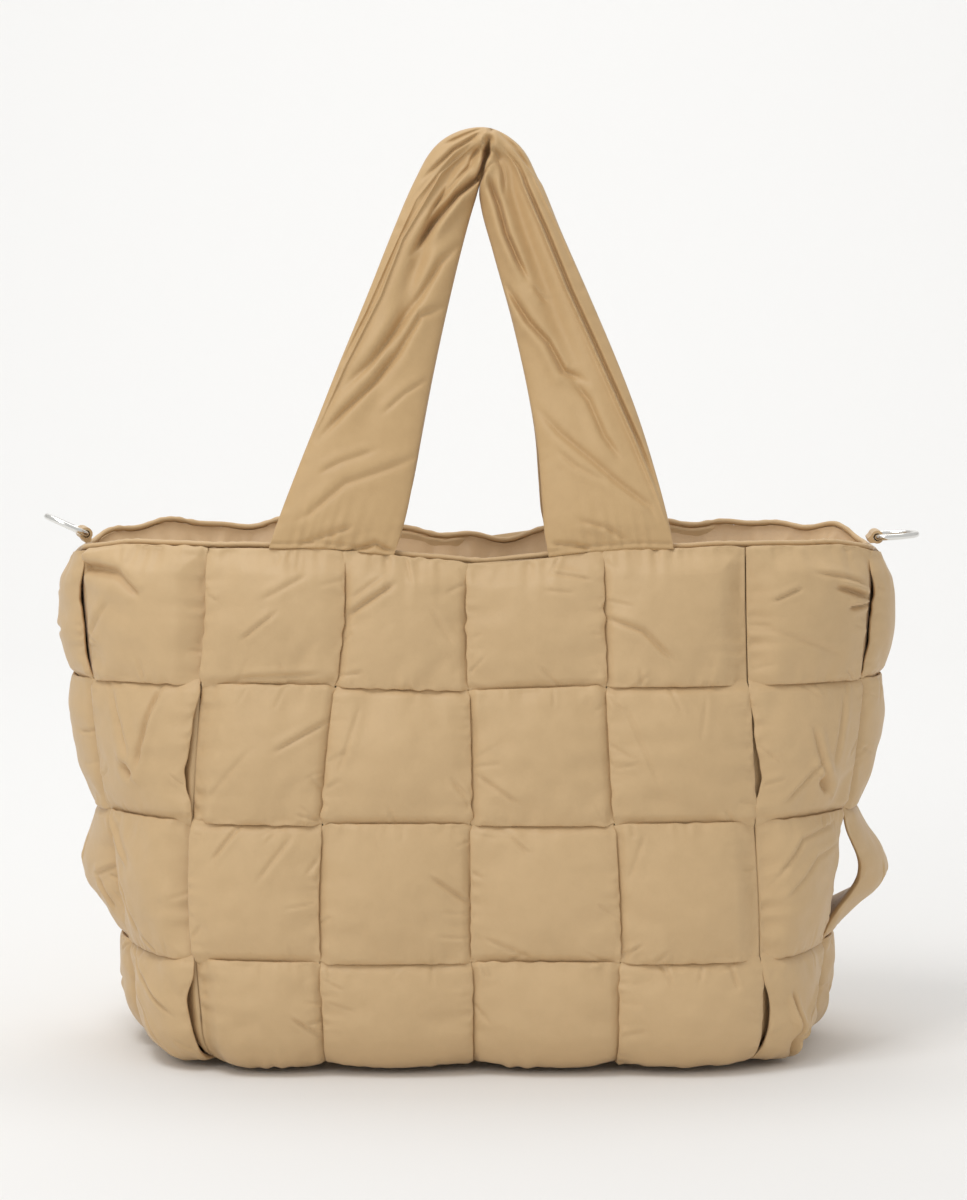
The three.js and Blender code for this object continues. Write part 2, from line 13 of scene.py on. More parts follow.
import bpy
import numpy as np
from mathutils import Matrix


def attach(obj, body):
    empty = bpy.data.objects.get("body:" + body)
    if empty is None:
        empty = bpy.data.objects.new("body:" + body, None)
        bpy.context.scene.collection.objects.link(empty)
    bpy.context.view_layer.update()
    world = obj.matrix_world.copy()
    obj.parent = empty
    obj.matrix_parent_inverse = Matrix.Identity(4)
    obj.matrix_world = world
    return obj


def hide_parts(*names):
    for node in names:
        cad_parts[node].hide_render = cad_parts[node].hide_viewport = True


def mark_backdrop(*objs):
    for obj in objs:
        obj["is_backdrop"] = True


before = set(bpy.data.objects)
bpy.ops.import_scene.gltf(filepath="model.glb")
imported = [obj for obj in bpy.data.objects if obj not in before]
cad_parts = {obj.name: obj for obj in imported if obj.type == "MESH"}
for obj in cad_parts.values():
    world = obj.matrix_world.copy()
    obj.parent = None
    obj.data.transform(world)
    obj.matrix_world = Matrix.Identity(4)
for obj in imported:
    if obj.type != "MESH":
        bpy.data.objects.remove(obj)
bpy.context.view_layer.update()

# %% [markdown]
# ## The camera
#
# The bag was photographed from a little above its rim, with a long lens, so that its upright
# lines stay upright. A camera two and a half metres away with a narrow view gives the same flat
# perspective. It is made first, because every later choice is judged through it.

# %% Camera
view = bpy.data.cameras.new("front_view")
view.sensor_fit = "VERTICAL"
view.sensor_height = 36
view.lens = 117.5
camera = bpy.data.objects.new("front_view", view)
camera.location = (0.004, -2.425, 0.535)
camera.rotation_euler = (math.radians(90 - 6.1), 0, 0)
bpy.context.scene.collection.objects.link(camera)
bpy.context.scene.camera = camera
print("camera", tuple(camera.location), "lens", view.lens)

# %% [markdown]
# ## Two curves that everything uses
#
# Soft things swell and fade, they don't bend at corners. Two small functions give such curves:
# one eases from 0 to 1, the other runs smoothly through a row of given values. Both work on
# whole arrays, so that thousands of points are placed in one go. Lengths here are in
# millimetres, as on a cutting table, and become metres only when a mesh is made.

# %% Easing, and a smooth curve through given values
MM = 0.001


def ease(t):
    """3 t squared less 2 t cubed between 0 and 1, and level outside."""
    c = np.clip(t, 0, 1)
    return c * c * (3 - 2 * c)


def through(at, value, x):
    """A cubic between each two knots, whose slope at a knot is that of the line joining the
    knots to either side of it. value is one number per knot, or an array of x's shape."""
    at = np.asarray(at, float)
    value = np.asarray(value, float)
    x = np.asarray(x, float)
    ones = (1,) * x.ndim
    value = np.broadcast_to(value.reshape(value.shape + ones) if value.ndim == 1 else value,
                            (len(at),) + x.shape)
    after = np.minimum(np.arange(len(at)) + 1, len(at) - 1)
    before = np.maximum(np.arange(len(at)) - 1, 0)
    slope = (value[after] - value[before]) / (at[after] - at[before]).reshape((-1,) + ones)
    i = np.searchsorted(at[1:-1], x, side="left")
    step = at[i + 1] - at[i]
    t = (x - at[i]) / step
    rest = 1 - t

    def pick(rows, j):
        return np.take_along_axis(rows, j[None], 0)[0]

    return (pick(value, i) * (1 + 2 * t) * rest**2 + pick(value, i + 1) * t * t * (3 - 2 * t)
            + step * t * rest * (pick(slope, i) * rest - pick(slope, i + 1) * t))


print("ease at 0.25", float(ease(0.25)))

# %% [markdown]
# ## The wall of the bag
#
# All strips lie on one surface: the middle of the woven wall. A point on it has two numbers, as
# on a roll of cloth: how far round the girth it is from the middle of the front, and how far down
# from the rim. A table of the bag's plan at each row says where that is in space. The front bulges
# a little, the ends taper in towards the base, and the mouth dips between the handles and at both
# ends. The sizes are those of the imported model, so that each soft strip fills its own solid.

# %% Sizes of the woven wall
STRIP_PITCH = 82
ROW_PITCH = 82
FOOT_ROW_HEIGHT = 73
FRONT_STRIPS, SIDE_STRIPS, ROWS = 4, 3, 4
RIM_HEIGHT = 316
FOOT_RADIUS = 20
GROUND_LIFT = 8.5
FRONT_HALF = FRONT_STRIPS * STRIP_PITCH / 2
END_HALF = SIDE_STRIPS * STRIP_PITCH / 2
GIRTH_HALF = 2 * (FRONT_HALF + END_HALF)
WALL_LENGTH = (ROWS - 1) * ROW_PITCH + FOOT_ROW_HEIGHT
UPRIGHT_LENGTH = RIM_HEIGHT - GROUND_LIFT - FOOT_RADIUS
ROW_TOPS = [row * ROW_PITCH for row in range(ROWS)] + [WALL_LENGTH]

# one row of the table per row of the weave, from the rim to the foot
PLAN = {
    "front_width": [1.0, 1.0, 1.005, 1.01, 0.995],
    "bulge": [0.05, 0.07, 0.08, 0.06, 0.05],
    "corner_depth": [0.61, 0.7, 0.78, 0.84, 0.82],
    "shoulder_reach": [0.6, 0.55, 0.46, 0.35, 0.26],
    "shoulder_depth": [0.325, 0.325, 0.325, 0.31, 0.31],
    "end_reach": [0.67, 0.65, 0.53, 0.4, 0.29],
}
BASE_PLAN = {"front_width": 0.95, "bulge": 0.04, "corner_depth": 0.66,
             "shoulder_reach": 0.13, "shoulder_depth": 0.3, "end_reach": 0.18}
print("girth", 2 * GIRTH_HALF, "mm, wall", WALL_LENGTH, "mm long")


# %% From the roll of cloth to a place in space
def plan(level, girth):
    """The plan at one level: a smooth curve through the middle of the front, the corner, the
    shoulder and the end, mirrored for the other three quarters."""
    corner = FRONT_HALF * level["front_width"]
    x = [0 * corner, corner, corner + level["shoulder_reach"] * END_HALF,
         corner + level["end_reach"] * END_HALF]
    y = [-(level["corner_depth"] + level["bulge"]) * END_HALF, -level["corner_depth"] * END_HALF,
         -level["shoulder_depth"] * END_HALF, 0 * corner]
    stops = [0, FRONT_HALF, FRONT_HALF + STRIP_PITCH, FRONT_HALF + END_HALF]
    wrapped = (girth + GIRTH_HALF) % (2 * GIRTH_HALF) - GIRTH_HALF
    at = ([-s for s in stops[:0:-1]] + stops + [GIRTH_HALF - s for s in stops[-2::-1]]
          + [GIRTH_HALF + s for s in stops[1:]])
    xs = [-v for v in x[:0:-1]] + x + x[-2::-1] + [-v for v in x[1:]]
    ys = y[:0:-1] + y + [-v for v in y[-2::-1]] + [-v for v in y[1:]]
    away = np.abs(wrapped)
    side = np.where(wrapped < 0, -1, 1)
    xs = np.stack([v + 0 * away for v in xs])
    ys = np.stack([v + 0 * away for v in ys])
    return side * through(at, xs, away), through(at, ys, away)


def rim_dip(girth):
    """How far the mouth hangs down: a bell curve 9 mm deep at the middle of the front, of the
    back and of each end, and a sum of sines for its loose waves, larger on the back."""
    away = np.abs((girth + GIRTH_HALF) % (2 * GIRTH_HALF) - GIRTH_HALF)
    from_middle = np.minimum(away, np.abs(GIRTH_HALF - away))
    from_end = np.abs(away - GIRTH_HALF / 2)
    random = np.random.default_rng(12)
    turn = np.asarray(girth, float) / GIRTH_HALF * np.pi
    waves = sum(np.sin(k * turn + random.uniform(0, 2 * np.pi)) for k in (8, 13, 19, 29))
    loose = np.where(away > GIRTH_HALF / 2, 1.0, 0.2) * ease(from_end / 60)
    return (9 * np.exp(-((from_middle / 62) ** 2)) + 9 * np.exp(-((from_end / 50) ** 2))
            + 1.1 * loose * (waves - 0.8))


def wall_middle(girth, down):
    """Straight down from the rim, then a quarter turn of the foot's radius in to the base."""
    girth, down = np.broadcast_arrays(np.asarray(girth, float), np.asarray(down, float))
    rows = np.arange(ROWS + 1) * ROW_PITCH
    level = {key: through(rows, values, np.maximum(down, 0)) for key, values in PLAN.items()}
    x, y = plan(level, girth)
    base = {key: value + 0 * girth for key, value in BASE_PLAN.items()}
    base_x, base_y = plan(base, girth)
    turn = np.clip((down - UPRIGHT_LENGTH) / (WALL_LENGTH - UPRIGHT_LENGTH), 0, 1) * np.pi / 2
    inwards = 1 - np.cos(turn)
    dip = rim_dip(girth) * (1 - ease(down / 130))
    z = np.where(down <= UPRIGHT_LENGTH, RIM_HEIGHT - down - dip,
                 GROUND_LIFT + FOOT_RADIUS * (1 - np.sin(turn)))
    return np.stack([x + (base_x - x) * inwards, y + (base_y - y) * inwards, z], -1)


def on_wall(girth, down, out, span=1.0):
    """The wall's middle, moved out along its normal, the cross product of the slopes down and
    along. A wider span rounds the corners of what lies behind the wall."""
    girth, down, out = np.broadcast_arrays(np.asarray(girth, float), np.asarray(down, float),
                                           np.asarray(out, float))
    below = np.minimum(down, WALL_LENGTH - 1)
    along = wall_middle(girth + span, below) - wall_middle(girth - span, below)
    drop = wall_middle(girth, below + 1) - wall_middle(girth, below - 1)
    normal = np.cross(drop, along)
    normal /= np.linalg.norm(normal, axis=-1, keepdims=True)
    return wall_middle(girth, down) + out[..., None] * normal


print("middle of the front rim", np.round(wall_middle(0.0, 0.0), 1))

# %% [markdown]
# ## From a grid of points to a mesh
#
# Every piece here is a grid of points: closed rings, one after another along the piece. One
# function turns such a grid into a Blender mesh. It also gives the mesh a UV map in metres of
# cloth, so that the weave of the threads follows the strip wherever it goes, and it turns all
# faces outwards by measuring the volume they enclose.


# %% Mesh maker
def tube(name, rings, cloth=None, joined=False, capped=True):
    """A mesh from rings of points, a grid of (ring, place in ring, xyz) in millimetres. joined
    closes the last ring to the first, capped closes both ends with one face each. cloth gives
    each point's place on the cloth in millimetres, with one more column than the grid."""
    count, around = rings.shape[:2]
    index = np.arange(count * around).reshape(count, around)
    here = index if joined else index[:-1]
    there = np.roll(index, -1, 0) if joined else index[1:]
    quads = np.stack([here, np.roll(here, -1, 1), np.roll(there, -1, 1), there], -1).reshape(-1, 4)
    points = rings.reshape(-1, 3) * MM
    a, b, c, d = (points[quads[:, k]] for k in range(4))
    volume = (np.einsum("ij,ij->i", a, np.cross(b, c)) + np.einsum("ij,ij->i", a, np.cross(c, d))).sum()
    order = [0, 1, 2, 3] if volume > 0 else [0, 3, 2, 1]
    loops = [quads[:, order].ravel()]
    sizes = [np.full(len(quads), 4)]
    if capped and not joined:
        ends = [index[0][::-1], index[-1]] if volume > 0 else [index[0], index[-1][::-1]]
        loops += ends
        sizes += [np.array([around]), np.array([around])]
    loops = np.concatenate(loops)
    sizes = np.concatenate(sizes)
    mesh = bpy.data.meshes.new(name)
    mesh.vertices.add(len(points))
    mesh.vertices.foreach_set("co", points.ravel())
    mesh.loops.add(len(loops))
    mesh.loops.foreach_set("vertex_index", loops.astype(np.int32))
    mesh.polygons.add(len(sizes))
    mesh.polygons.foreach_set("loop_start", (np.cumsum(sizes) - sizes).astype(np.int32))
    mesh.polygons.foreach_set("use_smooth", np.ones(len(sizes), bool))
    if cloth is not None:
        u = cloth * MM
        ahead = np.roll(u, -1, 0) if joined else u[1:]
        start = u if joined else u[:-1]
        corners = np.stack([start[:, :-1], start[:, 1:], ahead[:, 1:], ahead[:, :-1]], 2)
        flat = corners.reshape(-1, 4, 2)[:, order].reshape(-1, 2)
        whole = np.zeros((len(loops), 2))
        whole[:len(flat)] = flat
        mesh.uv_layers.new(name="cloth").data.foreach_set("uv", whole.ravel())
    mesh.update(calc_edges=True)
    mesh.validate()
    piece = bpy.data.objects.new(name, mesh)
    bpy.context.scene.collection.objects.link(piece)
    return piece


print("mesh maker ready")

# %% [markdown]
# ## The padding, blown up by simulation
#
# The cloth over a padded square is cut a little larger than the square it is sewn to, and the
# filling pushes it up from below. That is what gives real padding its soft, uneven swell and the
# short puckers that run in from the seams. Blender's cloth can do just that. A row of flat
# squares, ten times life size so that the solver is calm, is pinned along its edges and inflated.
# What is kept of it is only how far each square rises above the average square. That relief is
# laid on the strips later, a different square for each.

# %% Inflate the squares of cloth
GRID = 31
SQUARES = 24


def inflate_squares(seed=5):
    """Heights of SQUARES pinned cloths under pressure, in millimetres on an 82 mm square, less
    the mean of them all. The start is a low dome with a few long random waves."""
    random = np.random.default_rng(seed)
    side = STRIP_PITCH * MM * 10
    x, y = np.meshgrid(np.linspace(0, side, GRID), np.linspace(0, side, GRID), indexing="ij")
    edge = np.zeros((GRID, GRID), bool)
    edge[[0, -1]] = edge[:, [0, -1]] = True
    index = np.arange(GRID * GRID).reshape(GRID, GRID)
    quads = np.stack([index[:-1, :-1], index[1:, :-1], index[1:, 1:], index[:-1, 1:]], -1).reshape(-1, 4)
    wave_count = 14
    turn = random.uniform(0, np.pi, (SQUARES, wave_count, 1, 1))
    length = random.uniform(0.16, 0.45, (SQUARES, wave_count, 1, 1))
    phase = random.uniform(0, 2 * np.pi, (SQUARES, wave_count, 1, 1))
    waves = np.sin(2 * np.pi / length * (x * np.cos(turn) + y * np.sin(turn)) + phase).sum(1)
    dome = 0.03 * np.sin(np.pi * x / side) * np.sin(np.pi * y / side)
    z = np.where(edge, 0, dome + 0.0035 * waves)
    shift = np.arange(SQUARES)[:, None, None]
    start = np.stack([x + shift, y + 0 * shift, z], -1)
    faces = (quads[None] + (np.arange(SQUARES) * GRID * GRID)[:, None, None]).reshape(-1, 4)
    mesh = bpy.data.meshes.new("cut_squares")
    mesh.from_pydata(start.reshape(-1, 3).tolist(), [], faces.tolist())
    squares = bpy.data.objects.new("cut_squares", mesh)
    bpy.context.scene.collection.objects.link(squares)
    pins = squares.vertex_groups.new(name="pins")
    pins.add(np.nonzero(np.tile(edge.ravel(), SQUARES))[0].tolist(), 1.0, "ADD")
    cloth = squares.modifiers.new("cloth", "CLOTH")
    cloth.settings.quality = 5
    cloth.settings.mass = 0.3
    cloth.settings.vertex_group_mass = "pins"
    cloth.settings.tension_stiffness = cloth.settings.compression_stiffness = 15
    cloth.settings.shear_stiffness = 6
    cloth.settings.bending_stiffness = 5
    cloth.settings.air_damping = 2
    cloth.settings.shrink_min = -0.02
    cloth.settings.use_pressure = True
    cloth.settings.uniform_pressure_force = 2
    cloth.settings.effector_weights.gravity = 0
    cloth.collision_settings.use_collision = False
    for step in range(1, 26):
        bpy.context.scene.frame_set(step)
    blown = squares.evaluated_get(bpy.context.evaluated_depsgraph_get()).to_mesh()
    places = np.empty(len(blown.vertices) * 3, np.float32)
    blown.vertices.foreach_get("co", places)
    heights = places.reshape(SQUARES, GRID, GRID, 3)[..., 2].astype(float) * 100
    bpy.data.objects.remove(squares)
    bpy.data.meshes.remove(mesh)
    bpy.context.scene.frame_set(1)
    return heights - heights.mean(0)


relief_squares = inflate_squares()
print("relief of the squares, mm", float(relief_squares.min()), float(relief_squares.max()))


# %% Read the relief between its points
def read_relief(square, across, down):
    """The relief at shares from 0 to 1 of the square, by a smooth cubic through the four nearest
    points each way."""
    p = np.clip(across, 0, 1) * (GRID - 1)
    q = np.clip(down, 0, 1) * (GRID - 1)
    i = np.minimum(p.astype(int), GRID - 2)
    j = np.minimum(q.astype(int), GRID - 2)

    def weights(t):
        return (0.5 * (-t + 2 * t**2 - t**3), 0.5 * (2 - 5 * t**2 + 3 * t**3),
                0.5 * (t + 4 * t**2 - 3 * t**3), 0.5 * (t**3 - t**2))

    total = 0
    for a, wa in enumerate(weights(p - i)):
        for b, wb in enumerate(weights(q - j)):
            rows = np.clip(i + a - 1, 0, GRID - 1)
            cols = np.clip(j + b - 1, 0, GRID - 1)
            total = total + wa * wb * square[rows, cols]
    return total


# %% [markdown]
# ## Creases
#
# Nylon padding keeps a few sharp creases where the bag has been folded or pressed. Their places
# are what makes one bag look like itself, so those of the front are written down: for
# each square of the weave, the line of the crease in shares of the square from its top left
# corner, its depth and its half width in millimetres. A crease is a valley with a soft ridge on
# both sides, and it runs out at both ends. Squares that aren't in the table get a few random
# ones.

# %% Table of creases
# panel, column and row of the square, the points of the line, depth, half width
CREASES = [
    ("front", 0, 0, [(0.27, 0.69), (0.53, 0.46)], 0.9, 3),
    ("front", 0, 0, [(0.4, 0.39), (0.74, 0.2)], 0.8, 3.5),
    ("front", 0, 0, [(0.27, 0.95), (0.89, 0.92)], 1, 3), ("front", 1, 0, [(0, 0.5), (0.43, 0.2)], 1.6, 4),
    ("front", 1, 0, [(0.05, 0.36), (0.33, 0.15)], 0.7, 3),
    ("front", 1, 0, [(0.7, 0.37), (0.9, 0.66)], 0.5, 4),
    ("front", 2, 0, [(0.62, 0.12), (0.93, 0.22)], 0.9, 2.5),
    ("front", 2, 0, [(0.58, 0.25), (0.8, 0.3)], 0.6, 3),
    ("front", 3, 0, [(0, 0.49), (0.27, 0.61), (0.48, 0.84)], 1.5, 4),
    ("left", 2, 0, [(-0.2, 0.09), (0.2, 0.16), (0.44, 0.22)], 4.5, 8),
    ("left", 2, 0, [(0.36, 0.2), (0.55, 0.37)], 2, 5), ("left", 2, 0, [(0.02, 0.69), (0.32, 0.39)], 1, 5),
    ("right", 0, 0, [(0.16, 0.41), (0.37, 0.3)], 1.1, 2.5),
    ("right", 0, 0, [(0.61, 0.3), (1, 0.37)], 3, 4), ("right", 0, 0, [(0.73, 0.46), (1, 0.4)], 2.5, 3),
    ("right", 0, 0, [(0.08, 0.59), (0.69, 0.8)], 0.6, 4),
    ("right", 0, 0, [(0.45, 0.19), (0.95, 0.27)], 1.2, 3),
    ("left", 2, 1, [(0.71, 0), (0.56, 0.66)], 2, 4), ("left", 2, 1, [(0.44, 0.63), (0.48, 0.67)], 2.5, 6),
    ("left", 2, 1, [(0.26, 0.06), (0.5, 0.58)], 1.2, 5),
    ("front", 0, 1, [(0.61, 0.49), (1, 0.24)], 1.1, 3.5),
    ("front", 0, 1, [(0.13, 0.85), (0.47, 0.45)], 0.5, 4),
    ("front", 1, 1, [(0.2, 0.13), (0.09, 0.64)], 0.5, 3),
    ("front", 2, 1, [(0.04, 0.64), (0.36, 0.86)], 0.8, 3),
    ("front", 3, 1, [(0.12, 0.13), (0.34, 0.78)], 0.5, 3),
    ("front", 3, 1, [(0.69, 0.06), (0.62, 0.42)], 0.4, 3),
    ("right", 0, 1, [(0.54, 0.74), (0.58, 0.78)], 3, 7),
    ("right", 0, 1, [(0.44, 0.32), (0.56, 0.76)], 1.5, 4),
    ("right", 0, 1, [(0.2, 0.88), (0.54, 0.56)], 1, 3),
    ("right", 0, 1, [(0.78, 0.08), (0.64, 0.64)], 1, 4), ("left", 2, 2, [(0, 0), (0.36, 0.39)], -1.2, 4),
    ("left", 2, 2, [(0.12, 0.39), (0.42, 0.89)], 1.5, 5),
    ("front", 0, 2, [(0.41, 0), (0.19, 0.29)], 1, 3),
    ("front", 0, 2, [(0.81, 0.07), (0.56, 0.43)], 0.8, 3.5),
    ("front", 1, 2, [(0.71, 0.36), (0.99, 0.57)], 1.2, 3.5),
    ("front", 2, 2, [(0.27, 0.07), (0.41, 0.21)], 0.8, 2.5),
    ("front", 2, 2, [(0.09, 0.82), (0.41, 0.96)], 0.6, 3),
    ("front", 3, 2, [(0.2, 0.07), (0.06, 0.43)], 0.5, 3),
    ("right", 0, 2, [(0.08, 0.48), (0.35, 0.15), (0.82, 0.06)], 1, 3),
    ("right", 0, 2, [(0.14, 0.61), (0.5, 0.29), (0.87, 0.21)], 0.8, 3),
    ("front", 0, 3, [(0.76, 0.43), (1, 0.62)], 1, 3), ("left", 2, 3, [(0.09, 0), (0.86, 0.48)], 1.5, 3),
    ("left", 2, 3, [(0.26, 0.3), (0.78, 0.86)], 1.3, 3),
    ("front", 3, 3, [(0.3, 0.02), (0.34, 0.2)], 0.7, 2.5),
    ("front", 3, 3, [(0.55, 0.02), (0.52, 0.16)], 0.7, 2.5),
    ("front", 3, 3, [(0.75, 0.02), (0.8, 0.22)], 0.7, 2.5),
    ("right", 0, 3, [(0.32, 0.65), (0.36, 0.69)], 2.8, 7),
    ("right", 0, 3, [(0.34, 0.67), (0.24, 0.29)], 2.5, 3),
    ("right", 0, 3, [(0.34, 0.67), (0.78, 0.33)], 2, 3),
    ("right", 0, 3, [(0.34, 0.67), (0.54, 0.9)], 2, 3),
    ("right", 0, 3, [(0.34, 0.67), (0.96, 0.62)], 1.5, 3),
]


VALLEY = 0.38  # half width of the valley, as a share of the whole fold's


def crease(line, x, y, depth, half_width):
    """Depth times a narrow bell curve of the distance to the line, less a lower and wider bell
    beside it, which is higher on the line's left. Both fade out at the line's ends. A line of a
    few millimetres is a round dimple, and a negative depth makes a raised seam."""
    line = np.asarray(line, float)
    lengths = np.linalg.norm(np.diff(line, axis=0), axis=1)
    total = lengths.sum()
    nearest = np.full(np.shape(x), 1e9)
    along = np.zeros(np.shape(x))
    left = np.zeros(np.shape(x), bool)
    for k, (start, end) in enumerate(zip(line[:-1], line[1:])):
        run = end - start
        t = np.clip(((x - start[0]) * run[0] + (y - start[1]) * run[1]) / lengths[k] ** 2, 0, 1)
        d = np.hypot(x - start[0] - t * run[0], y - start[1] - t * run[1])
        closer = d < nearest
        nearest = np.where(closer, d, nearest)
        along = np.where(closer, lengths[:k].sum() + t * lengths[k], along)
        left = np.where(closer, run[0] * (y - start[1]) - run[1] * (x - start[0]) < 0, left)
    from_tip = np.minimum(along, total - along) / (0.3 * total)
    from_other = np.maximum(along, total - along) / (0.3 * total)
    fade = 1 if total < 8 else ease(from_tip + 0.2) * ease(from_other + 0.2)
    valley = np.exp(-((nearest / (VALLEY * half_width)) ** 2))
    swell = np.exp(-(((nearest - half_width) / (0.8 * half_width)) ** 2)) * np.where(left, 0.6, 0.3)
    return -depth * fade * (valley - swell)


print("creases in the table", len(CREASES))

# %% [markdown]
# ## One padded strip
#
# A strip is a flattened tube of cloth with loose filling. Its section is full in the middle and
# folded flat along both edges. Along its length it rises over one crossing strip and dives under
# the next, and where it dives its padding is squeezed. It is sewn down at its ends. A function of
# two numbers, the place along the strip and the place across it, gives every point, and the
# relief of the inflated squares, the creases and the puckers of the seams are added as extra
# height where the strip lies on top.

# %% Sizes of the padding
PAD, LAYER, EDGE = 5.4, 5.8, 0.5  # half the filling, half the step between layers, half the fold
PINCH, DIVE = 0.62, 12  # share of the filling that is squeezed at a crossing, and how far that reaches
SEAM_RISE = 17  # from a sewn end to the full height
SEAM_PAD, SEAM_LAYER = 1.1, 1.3  # filling and layer at a sewn end
GAP = 0.8  # between neighbouring strips
DIVE_TOP = 5.0  # height of a strip's face where it slips under its neighbour's edge
SEAM_TOP = 3.4  # the same where it is sewn down
EDGE_STEP = 2.1  # how much higher the neighbour's free edge lies
EDGE_ARCH = 0.9  # how much that edge arches up in the middle of a square
CROWN_HEIGHT = 6.2  # from the free edge to the middle of the square
OVERHANG = 1.1  # of a free edge over the strip that slips under it
RELIEF = 0.45  # share of the simulated relief that is used
FOLD_STRENGTH = 1.4  # by which the creases' depths are multiplied
ACROSS_TOP, ACROSS_UNDER = 88, 12  # steps of the mesh
ALONG_TOP, ALONG_UNDER = 76, 20


def ripple(places, random, shortest, longest, waves=7):
    """A sum of sines of random lengths and phases, of about unit height, for uneven puckers."""
    lengths = random.uniform(shortest, longest, waves)
    phases = random.uniform(0, 2 * np.pi, waves)
    total = sum(np.sin(2 * np.pi * places / l + p) for l, p in zip(lengths, phases))
    swell = 0.6 + 0.4 * np.sin(2 * np.pi * places / (5 * longest) + phases[0])
    return total * swell / math.sqrt(waves)


def over_and_under(stops, over, at):
    """Layer goes from 1 to -1 and back through eased steps centred on the crossing lines, and
    squeeze is a bump of the same width on each line."""
    layer = np.full(at.shape, 1.0 if over[0] else -1.0)
    squeeze = np.zeros(at.shape)
    for line, next_over in zip(stops[1:-1], over[1:]):
        t = (at - line) / DIVE
        layer = layer + ((1.0 if next_over else -1.0) - layer) * ease((t + 1) / 2) * (t > -1)
        squeeze = np.maximum(squeeze, 1 - ease(np.abs(t)))
    return layer, squeeze


def on_top(stops, over, at):
    """For each place along the strip: whether it lies on top, how far it is from the square's
    nearer end, and the same as a share of half the square."""
    top = np.zeros(at.shape, bool)
    from_line = np.full(at.shape, 1e9)
    half = np.ones(at.shape)
    for a, b, is_over in zip(stops[:-1], stops[1:], over):
        here = (at >= a) & (at <= b)
        top = np.where(here, is_over, top)
        from_line = np.where(here, np.minimum(at - a, b - at), from_line)
        half = np.where(here, (b - a) / 2, half)
    return top, from_line, np.clip(from_line / half, 0, 1)


def crown(share):
    """1 less the 2.2th power of the distance from the middle: round in the middle, and still
    sloping at the edge."""
    return 1 - (1 - share) ** 2.2


# %% The squares' own relief
def square_relief(panel, column, row, x, y, width, height):
    """Relief of one inflated square, turned at random, plus the creases of this square, faded
    out over the last millimetres before its edges."""
    random = np.random.default_rng([ord(panel[0]), ord(panel[1]), column, row])
    square = relief_squares[random.integers(SQUARES)]
    if random.random() < 0.5:
        square = square[::-1]
    if random.random() < 0.5:
        square = square.T
    relief = RELIEF * read_relief(square, x / width, y / height)
    mine = [c for c in CREASES if c[:3] == (panel, column, row)]
    if panel == "back" or (panel in ("left", "right") and not mine):
        for _ in range(random.integers(2, 5)):
            start = random.uniform(0.1, 0.9, 2)
            turn = random.uniform(0, 2 * np.pi)
            end = np.clip(start + random.uniform(0.25, 0.5) * np.array([np.cos(turn), np.sin(turn)]), 0, 1)
            mine.append((panel, column, row, [tuple(start), tuple(end)],
                         random.uniform(0.4, 1.4), random.uniform(2.8, 4.5)))
    for _ in range(random.integers(5, 9)):
        start = random.uniform(0, 1, 2)
        start[random.integers(2)] = random.integers(2)
        turn = random.uniform(-0.7, 0.7) + math.atan2(0.5 - start[1], 0.5 - start[0])
        end = start + random.uniform(0.08, 0.24) * np.array([math.cos(turn), math.sin(turn)])
        mine.append((panel, column, row, [tuple(start), tuple(end)],
                     random.uniform(0.2, 0.65), random.uniform(1.8, 3.2)))
    fold = 0
    for _, _, _, line, depth, half_width in mine:
        fold = fold + crease([(a * width, b * height) for a, b in line], x, y, depth, half_width)
    inside = ease(np.minimum(np.minimum(x, width - x), np.minimum(y, height - y)) / 2.5)
    return relief + FOLD_STRENGTH * fold * inside


